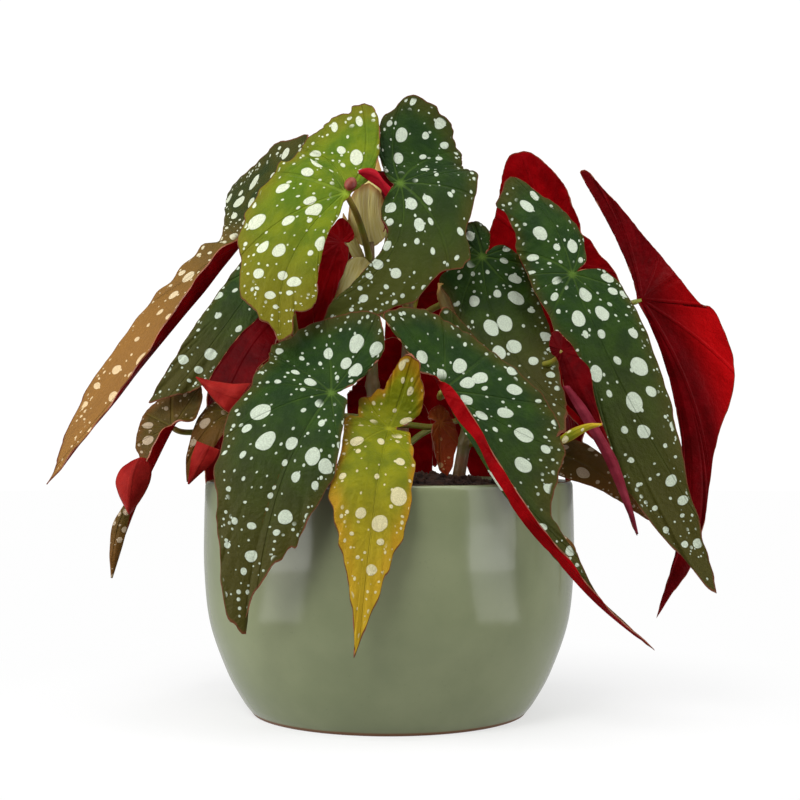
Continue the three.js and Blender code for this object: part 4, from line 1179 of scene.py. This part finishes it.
def tube(path, radii, sides):
    """A bmesh tube along the path, closed to a point at both ends."""
    bm = bmesh.new()
    rows = len(path) + 1
    bmesh.ops.create_grid(bm, x_segments=sides, y_segments=rows, size=1.0)
    centres = np.vstack([path[:1], path, path[-1:]])
    widths = np.concatenate([[0.0], radii, [0.0]])
    slopes = unit(np.gradient(path, axis=0))
    slopes = np.vstack([slopes[:1], slopes, slopes[-1:]])
    across = unit(np.cross(slopes, np.array([0.3, 1.0, 0.1])))
    lift = np.cross(slopes, across)
    for vert in bm.verts:
        row = round((vert.co.y + 1) / 2 * rows)
        angle = (vert.co.x + 1) * pi
        spoke = across[row] * cos(angle) + lift[row] * sin(angle)
        vert.co = Vector((centres[row] + spoke * widths[row]) * MM)
    bmesh.ops.remove_doubles(bm, verts=bm.verts, dist=MERGE / 10)
    bmesh.ops.recalc_face_normals(bm, faces=bm.faces)
    return bm


def stalk_path(leaf, count):
    foot, head = (np.array(p, float) for p in CANES[leaf.cane])
    start = foot + (head - foot) * (leaf.joint - foot[2]) / (head[2] - foot[2])
    root = np.array(leaf.root, float)
    span = np.linalg.norm(root - start)
    outward = (root - start) * (1, 1, 0)
    leave = unit(outward) * STALK_OUT + np.array([0, 0, STALK_UP])
    arrive = np.array(leaf.reach) if leaf.reach else -aim(*leaf.face)
    arrive = unit(arrive) * np.linalg.norm(arrive) * STALK_ARRIVAL
    a, b, c = start, start + leave * span, root + arrive * span
    t = np.linspace(0, 1, count)[:, None]
    return (1 - t) ** 3 * a + 3 * (1 - t) ** 2 * t * b + 3 * (1 - t) * t**2 * c + t**3 * root


def spun(profile, steps):
    """A profile of (radius, height) in millimetres, turned round the upright axis."""
    bm = bmesh.new()
    verts = [bm.verts.new((r * MM, 0, z * MM)) for r, z in profile]
    edges = [bm.edges.new(pair) for pair in zip(verts, verts[1:])]
    turned = dict(geom=verts + edges, cent=(0, 0, 0), axis=(0, 0, 1))
    bmesh.ops.spin(bm, **turned, angle=2 * pi, steps=steps, use_merge=True)
    bmesh.ops.remove_doubles(bm, verts=bm.verts, dist=MERGE)
    bmesh.ops.recalc_face_normals(bm, faces=bm.faces)
    return bm


# ---------------------------------------------------------------- pot and soil


def pot_profile():
    outside = curve_through(POT_OUTSIDE, np.linspace(0, 1, POT_ROWS))
    inside = [(r - POT_WALL, z) for r, z in outside[::-1] if POT_FLOOR + 2 < z < BELOW_LIP]
    corner = inside[-1][0]
    floor = [(corner - 2, POT_FLOOR + 0.4), (corner - 5, POT_FLOOR), (0, POT_FLOOR)]
    return [*POT_FOOT, *outside, *POT_LIP, *inside, *floor]


def soil_height(x, y):
    edge, rise = SOIL_MOUND
    part = min(1.0, (x * x + y * y) ** 0.5 / MOUND_REACH)
    lump = noise.fractal(Vector((x / LUMP_SPAN, y / LUMP_SPAN, 0.0)), 0.9, 2.2, 4)
    return edge + rise * cos(part * pi / 2) + SOIL_LUMPS * lump


def soil_piece():
    rings = [(r, SOIL_MOUND[0]) for r in np.linspace(SOIL_RADIUS, 0, SOIL_RINGS)]
    bm = spun([*SOIL_BASE, *rings], SOIL_SIDES)
    for vert in bm.verts:
        if vert.co.z > SOIL_BASE[1][1] * MM + MERGE:
            vert.co.z = soil_height(vert.co.x / MM, vert.co.y / MM) * MM
    finish_piece("soil_surface", bm, [soil_finish], ["soil"])


def crumbs_piece():
    """Loose crumbs of the mix, each a small dented ball half sunk into the surface."""
    random = np.random.default_rng(CRUMB_SEED)
    bm = bmesh.new()
    for _ in range(CRUMBS):
        angle, away = random.uniform(0, 2 * pi), CRUMB_FIELD * random.uniform(0, 1) ** 0.5
        x, y = away * cos(angle), away * sin(angle)
        size = random.uniform(*CRUMB_SIZES)
        made = bmesh.ops.create_icosphere(bm, subdivisions=1, radius=size * MM)["verts"]
        bmesh.ops.scale(bm, verts=made, vec=random.uniform(*CRUMB_SQUASH, 3))
        for vert in made:
            vert.co *= 1 + random.uniform(-CRUMB_DENTS, CRUMB_DENTS)
        bmesh.ops.translate(bm, verts=made, vec=Vector((x, y, soil_height(x, y) + CRUMB_LIFT)) * MM)
    finish_piece("soil_crumbs", bm, [soil_finish], [])


finish_piece("pot_glazed", spun(pot_profile(), POT_SIDES), [glaze], ["pot"])
soil_piece()
crumbs_piece()

# ---------------------------------------------------------------- canes, leaves, growing end


def cane_piece(name, foot, head):
    """A cane that tapers upwards, swollen at its joints, with the ring of an old sheath on each."""
    path = np.linspace(foot, head, CANE_STEPS)
    heights = np.linalg.norm(path - path[0], axis=1)
    swell = JOINT_SWELL * np.maximum(0, np.cos(heights * 2 * pi / JOINT_PITCH)) ** 6
    from_joint = (heights + 3) % JOINT_PITCH - 3
    scar = SCAR_RIDGE * np.exp(-(from_joint**2) / 0.5)
    part = np.linspace(0, 1, len(path))
    radii = (CANE_RADIUS + swell + scar) * (1 - CANE_TAPER * part)
    finish_piece("cane_skin_" + name, tube(path, radii, CANE_SIDES), [bark], ["cane_" + name])


def leaf_pieces(leaf, seed):
    """A leaf's blade and its stalk."""
    node = "leaf_" + FUSED.get(leaf.name, leaf.name)
    grid, waves = (SMALL_GRID, SMALL_WAVES) if leaf.name in SMALL else (BLADE_GRID, 1.0)
    outline = MARGINS.get(leaf.name) or wing_outline(leaf)
    skins = [tops[leaf.look], UNDERSIDES.get(leaf.name, underside), margin_finish]
    blade = blade_piece("blade_" + leaf.name, leaf, outline, grid, skins, node, seed, waves)
    blade.visible_glossy = leaf.name not in BEFORE_THE_POT
    widths = STALK_RADIUS * np.linspace(*STALK_FLARE, STALK_STEPS)
    widths[-1] = STALK_TOP
    stalk = tube(stalk_path(leaf, STALK_STEPS), widths, STALK_SIDES)
    finish_piece("stalk_" + leaf.name, stalk, [stalk_skin], [node])


def sheath_piece(sheath, seed):
    skin, slot = (young, "young_leaf") if sheath.name == "leaf_young" else (stipule, "stipule")
    outline = oval_outline(sheath)
    name = sheath.name + "_blade"
    blade_piece(name, sheath, outline, SHEATH_GRID, [skin] * 3, sheath.name, seed, SHEATH_WAVES)


def bud_piece():
    """The bud at the point of the young leaf."""
    bm = bmesh.new()
    bmesh.ops.create_uvsphere(bm, u_segments=24, v_segments=16, radius=1.0)
    bmesh.ops.scale(bm, verts=bm.verts, vec=Vector(BUD_SIZE) * MM)
    bmesh.ops.rotate(bm, verts=bm.verts, matrix=Matrix.Rotation(BUD_LEAN, 3, "Y"))
    bmesh.ops.translate(bm, verts=bm.verts, vec=Vector(BUD_PLACE) * MM)
    finish_piece("bud", bm, [bud_skin], ["leaf_young"])


for cane_name, (cane_foot, cane_head) in CANES.items():
    cane_piece(cane_name, cane_foot, cane_head)
for number, leaf in enumerate(LEAVES):
    leaf_pieces(leaf, SEED_STEP * number)
for number, sheath in enumerate(SHEATHS):
    sheath_piece(sheath, SHEATH_SEED + number)
for flap in FLAPS:
    flap_piece(flap)
bud_piece()

# ---------------------------------------------------------------- camera, floor and light


def add_object(name, data):
    made = bpy.data.objects.new(name, data)
    bpy.context.scene.collection.objects.link(made)
    return made


def add_camera():
    data = bpy.data.cameras.new("camera")
    data.lens = CAMERA_LENS
    data.sensor_width = CAMERA_SENSOR
    data.shift_x, data.shift_y = CAMERA_SHIFT
    data.clip_start = 0.01
    camera = add_object("camera", data)
    camera.location = (0, -CAMERA_DISTANCE, CAMERA_HEIGHT)
    camera.rotation_euler = (pi / 2, 0, 0)
    bpy.context.scene.camera = camera


def floor_finish():
    """White paper, full bright where it is seen and dimmer in what it lights.

    In reflections the stretches under the two side panels, by their angle from the front,
    glow brighter still, which paints two soft highlights on the glaze."""
    finish = Finish("white_paper", Base_Color=(0.9, 0.9, 0.9, 1), Roughness=0.9)
    where = finish.objects()
    x, y, _ = finish.split(where)
    away = finish.length(where)
    aside = finish.math("ARCTAN2", finish.math("ABSOLUTE", x), finish.times(y, -1.0))
    # painted highlights: two stretches of floor beside the front glow brighter, only in reflections
    highlight_glow_stretches = finish.times(finish.ramp(aside, 0.76, 0.84), finish.ramp(aside, 1.2, 1.34, 1.0, 0.0))
    highlight_glow_stretches = finish.times(highlight_glow_stretches, finish.ramp(away, 0.2, 0.235))
    path = finish.node("LightPath", {}).outputs
    mirrored = finish.math("ADD", finish.times(highlight_glow_stretches, SIDE_HIGHLIGHT_GLOW), FLOOR_MIRRORED)
    mirrored = finish.times(mirrored, path["Is Glossy Ray"])
    seen = finish.ramp(path["Is Camera Ray"], 0.0, 1.0, FLOOR_LIT, FLOOR_SEEN)
    strength = finish.math("ADD", seen, mirrored)
    glow = finish.node("Emission", {"Color": (1, 1, 1, 1), "Strength": strength}).outputs[0]
    share = finish.ramp(away, 0.06, 0.26, 0.6, 1.0)  # less near the pot, so its shadow shows
    shown = finish.node("MixShader", {0: share, 1: finish.shader.outputs[0], 2: glow})
    finish.put(finish.tree.nodes["Material Output"].inputs["Surface"], shown.outputs[0])
    return finish.material


def add_floor():
    bm = bmesh.new()
    bmesh.ops.create_circle(bm, cap_ends=True, segments=96, radius=3.0)
    mesh = bpy.data.meshes.new("floor")
    bm.to_mesh(mesh)
    bm.free()
    mesh.materials.append(floor_finish())
    add_object("floor", mesh)


def add_softbox(name, location, target, size, power):
    data = bpy.data.lights.new(name, "AREA")
    data.shape = "RECTANGLE"
    data.size, data.size_y = size
    data.energy = power
    lamp = add_object(name, data)
    lamp.location = location
    lamp.rotation_euler = (Vector(target) - Vector(location)).to_track_quat("-Z", "Y").to_euler()


def add_world():
    """A white surround, dimmer in what it lights and reflects than in what is seen of it."""
    world = bpy.data.worlds.new("surround")
    world.use_nodes = True
    tree = world.node_tree
    bpy.context.scene.world = world
    background = tree.nodes["Background"]
    background.inputs["Color"].default_value = (1, 1, 1, 1)
    path = tree.nodes.new("ShaderNodeLightPath")
    strength = tree.nodes.new("ShaderNodeMapRange")
    tree.links.new(path.outputs["Is Camera Ray"], strength.inputs[0])
    strength.inputs[3].default_value = SURROUND_LIT
    strength.inputs[4].default_value = SURROUND_SEEN
    tree.links.new(strength.outputs[0], background.inputs["Strength"])


add_camera()
add_floor()
add_world()
for lamp_name, (location, target, size, power) in SOFTBOXES.items():
    add_softbox(lamp_name, location, target, size, power)
bpy.context.scene.view_settings.view_transform = "Standard"
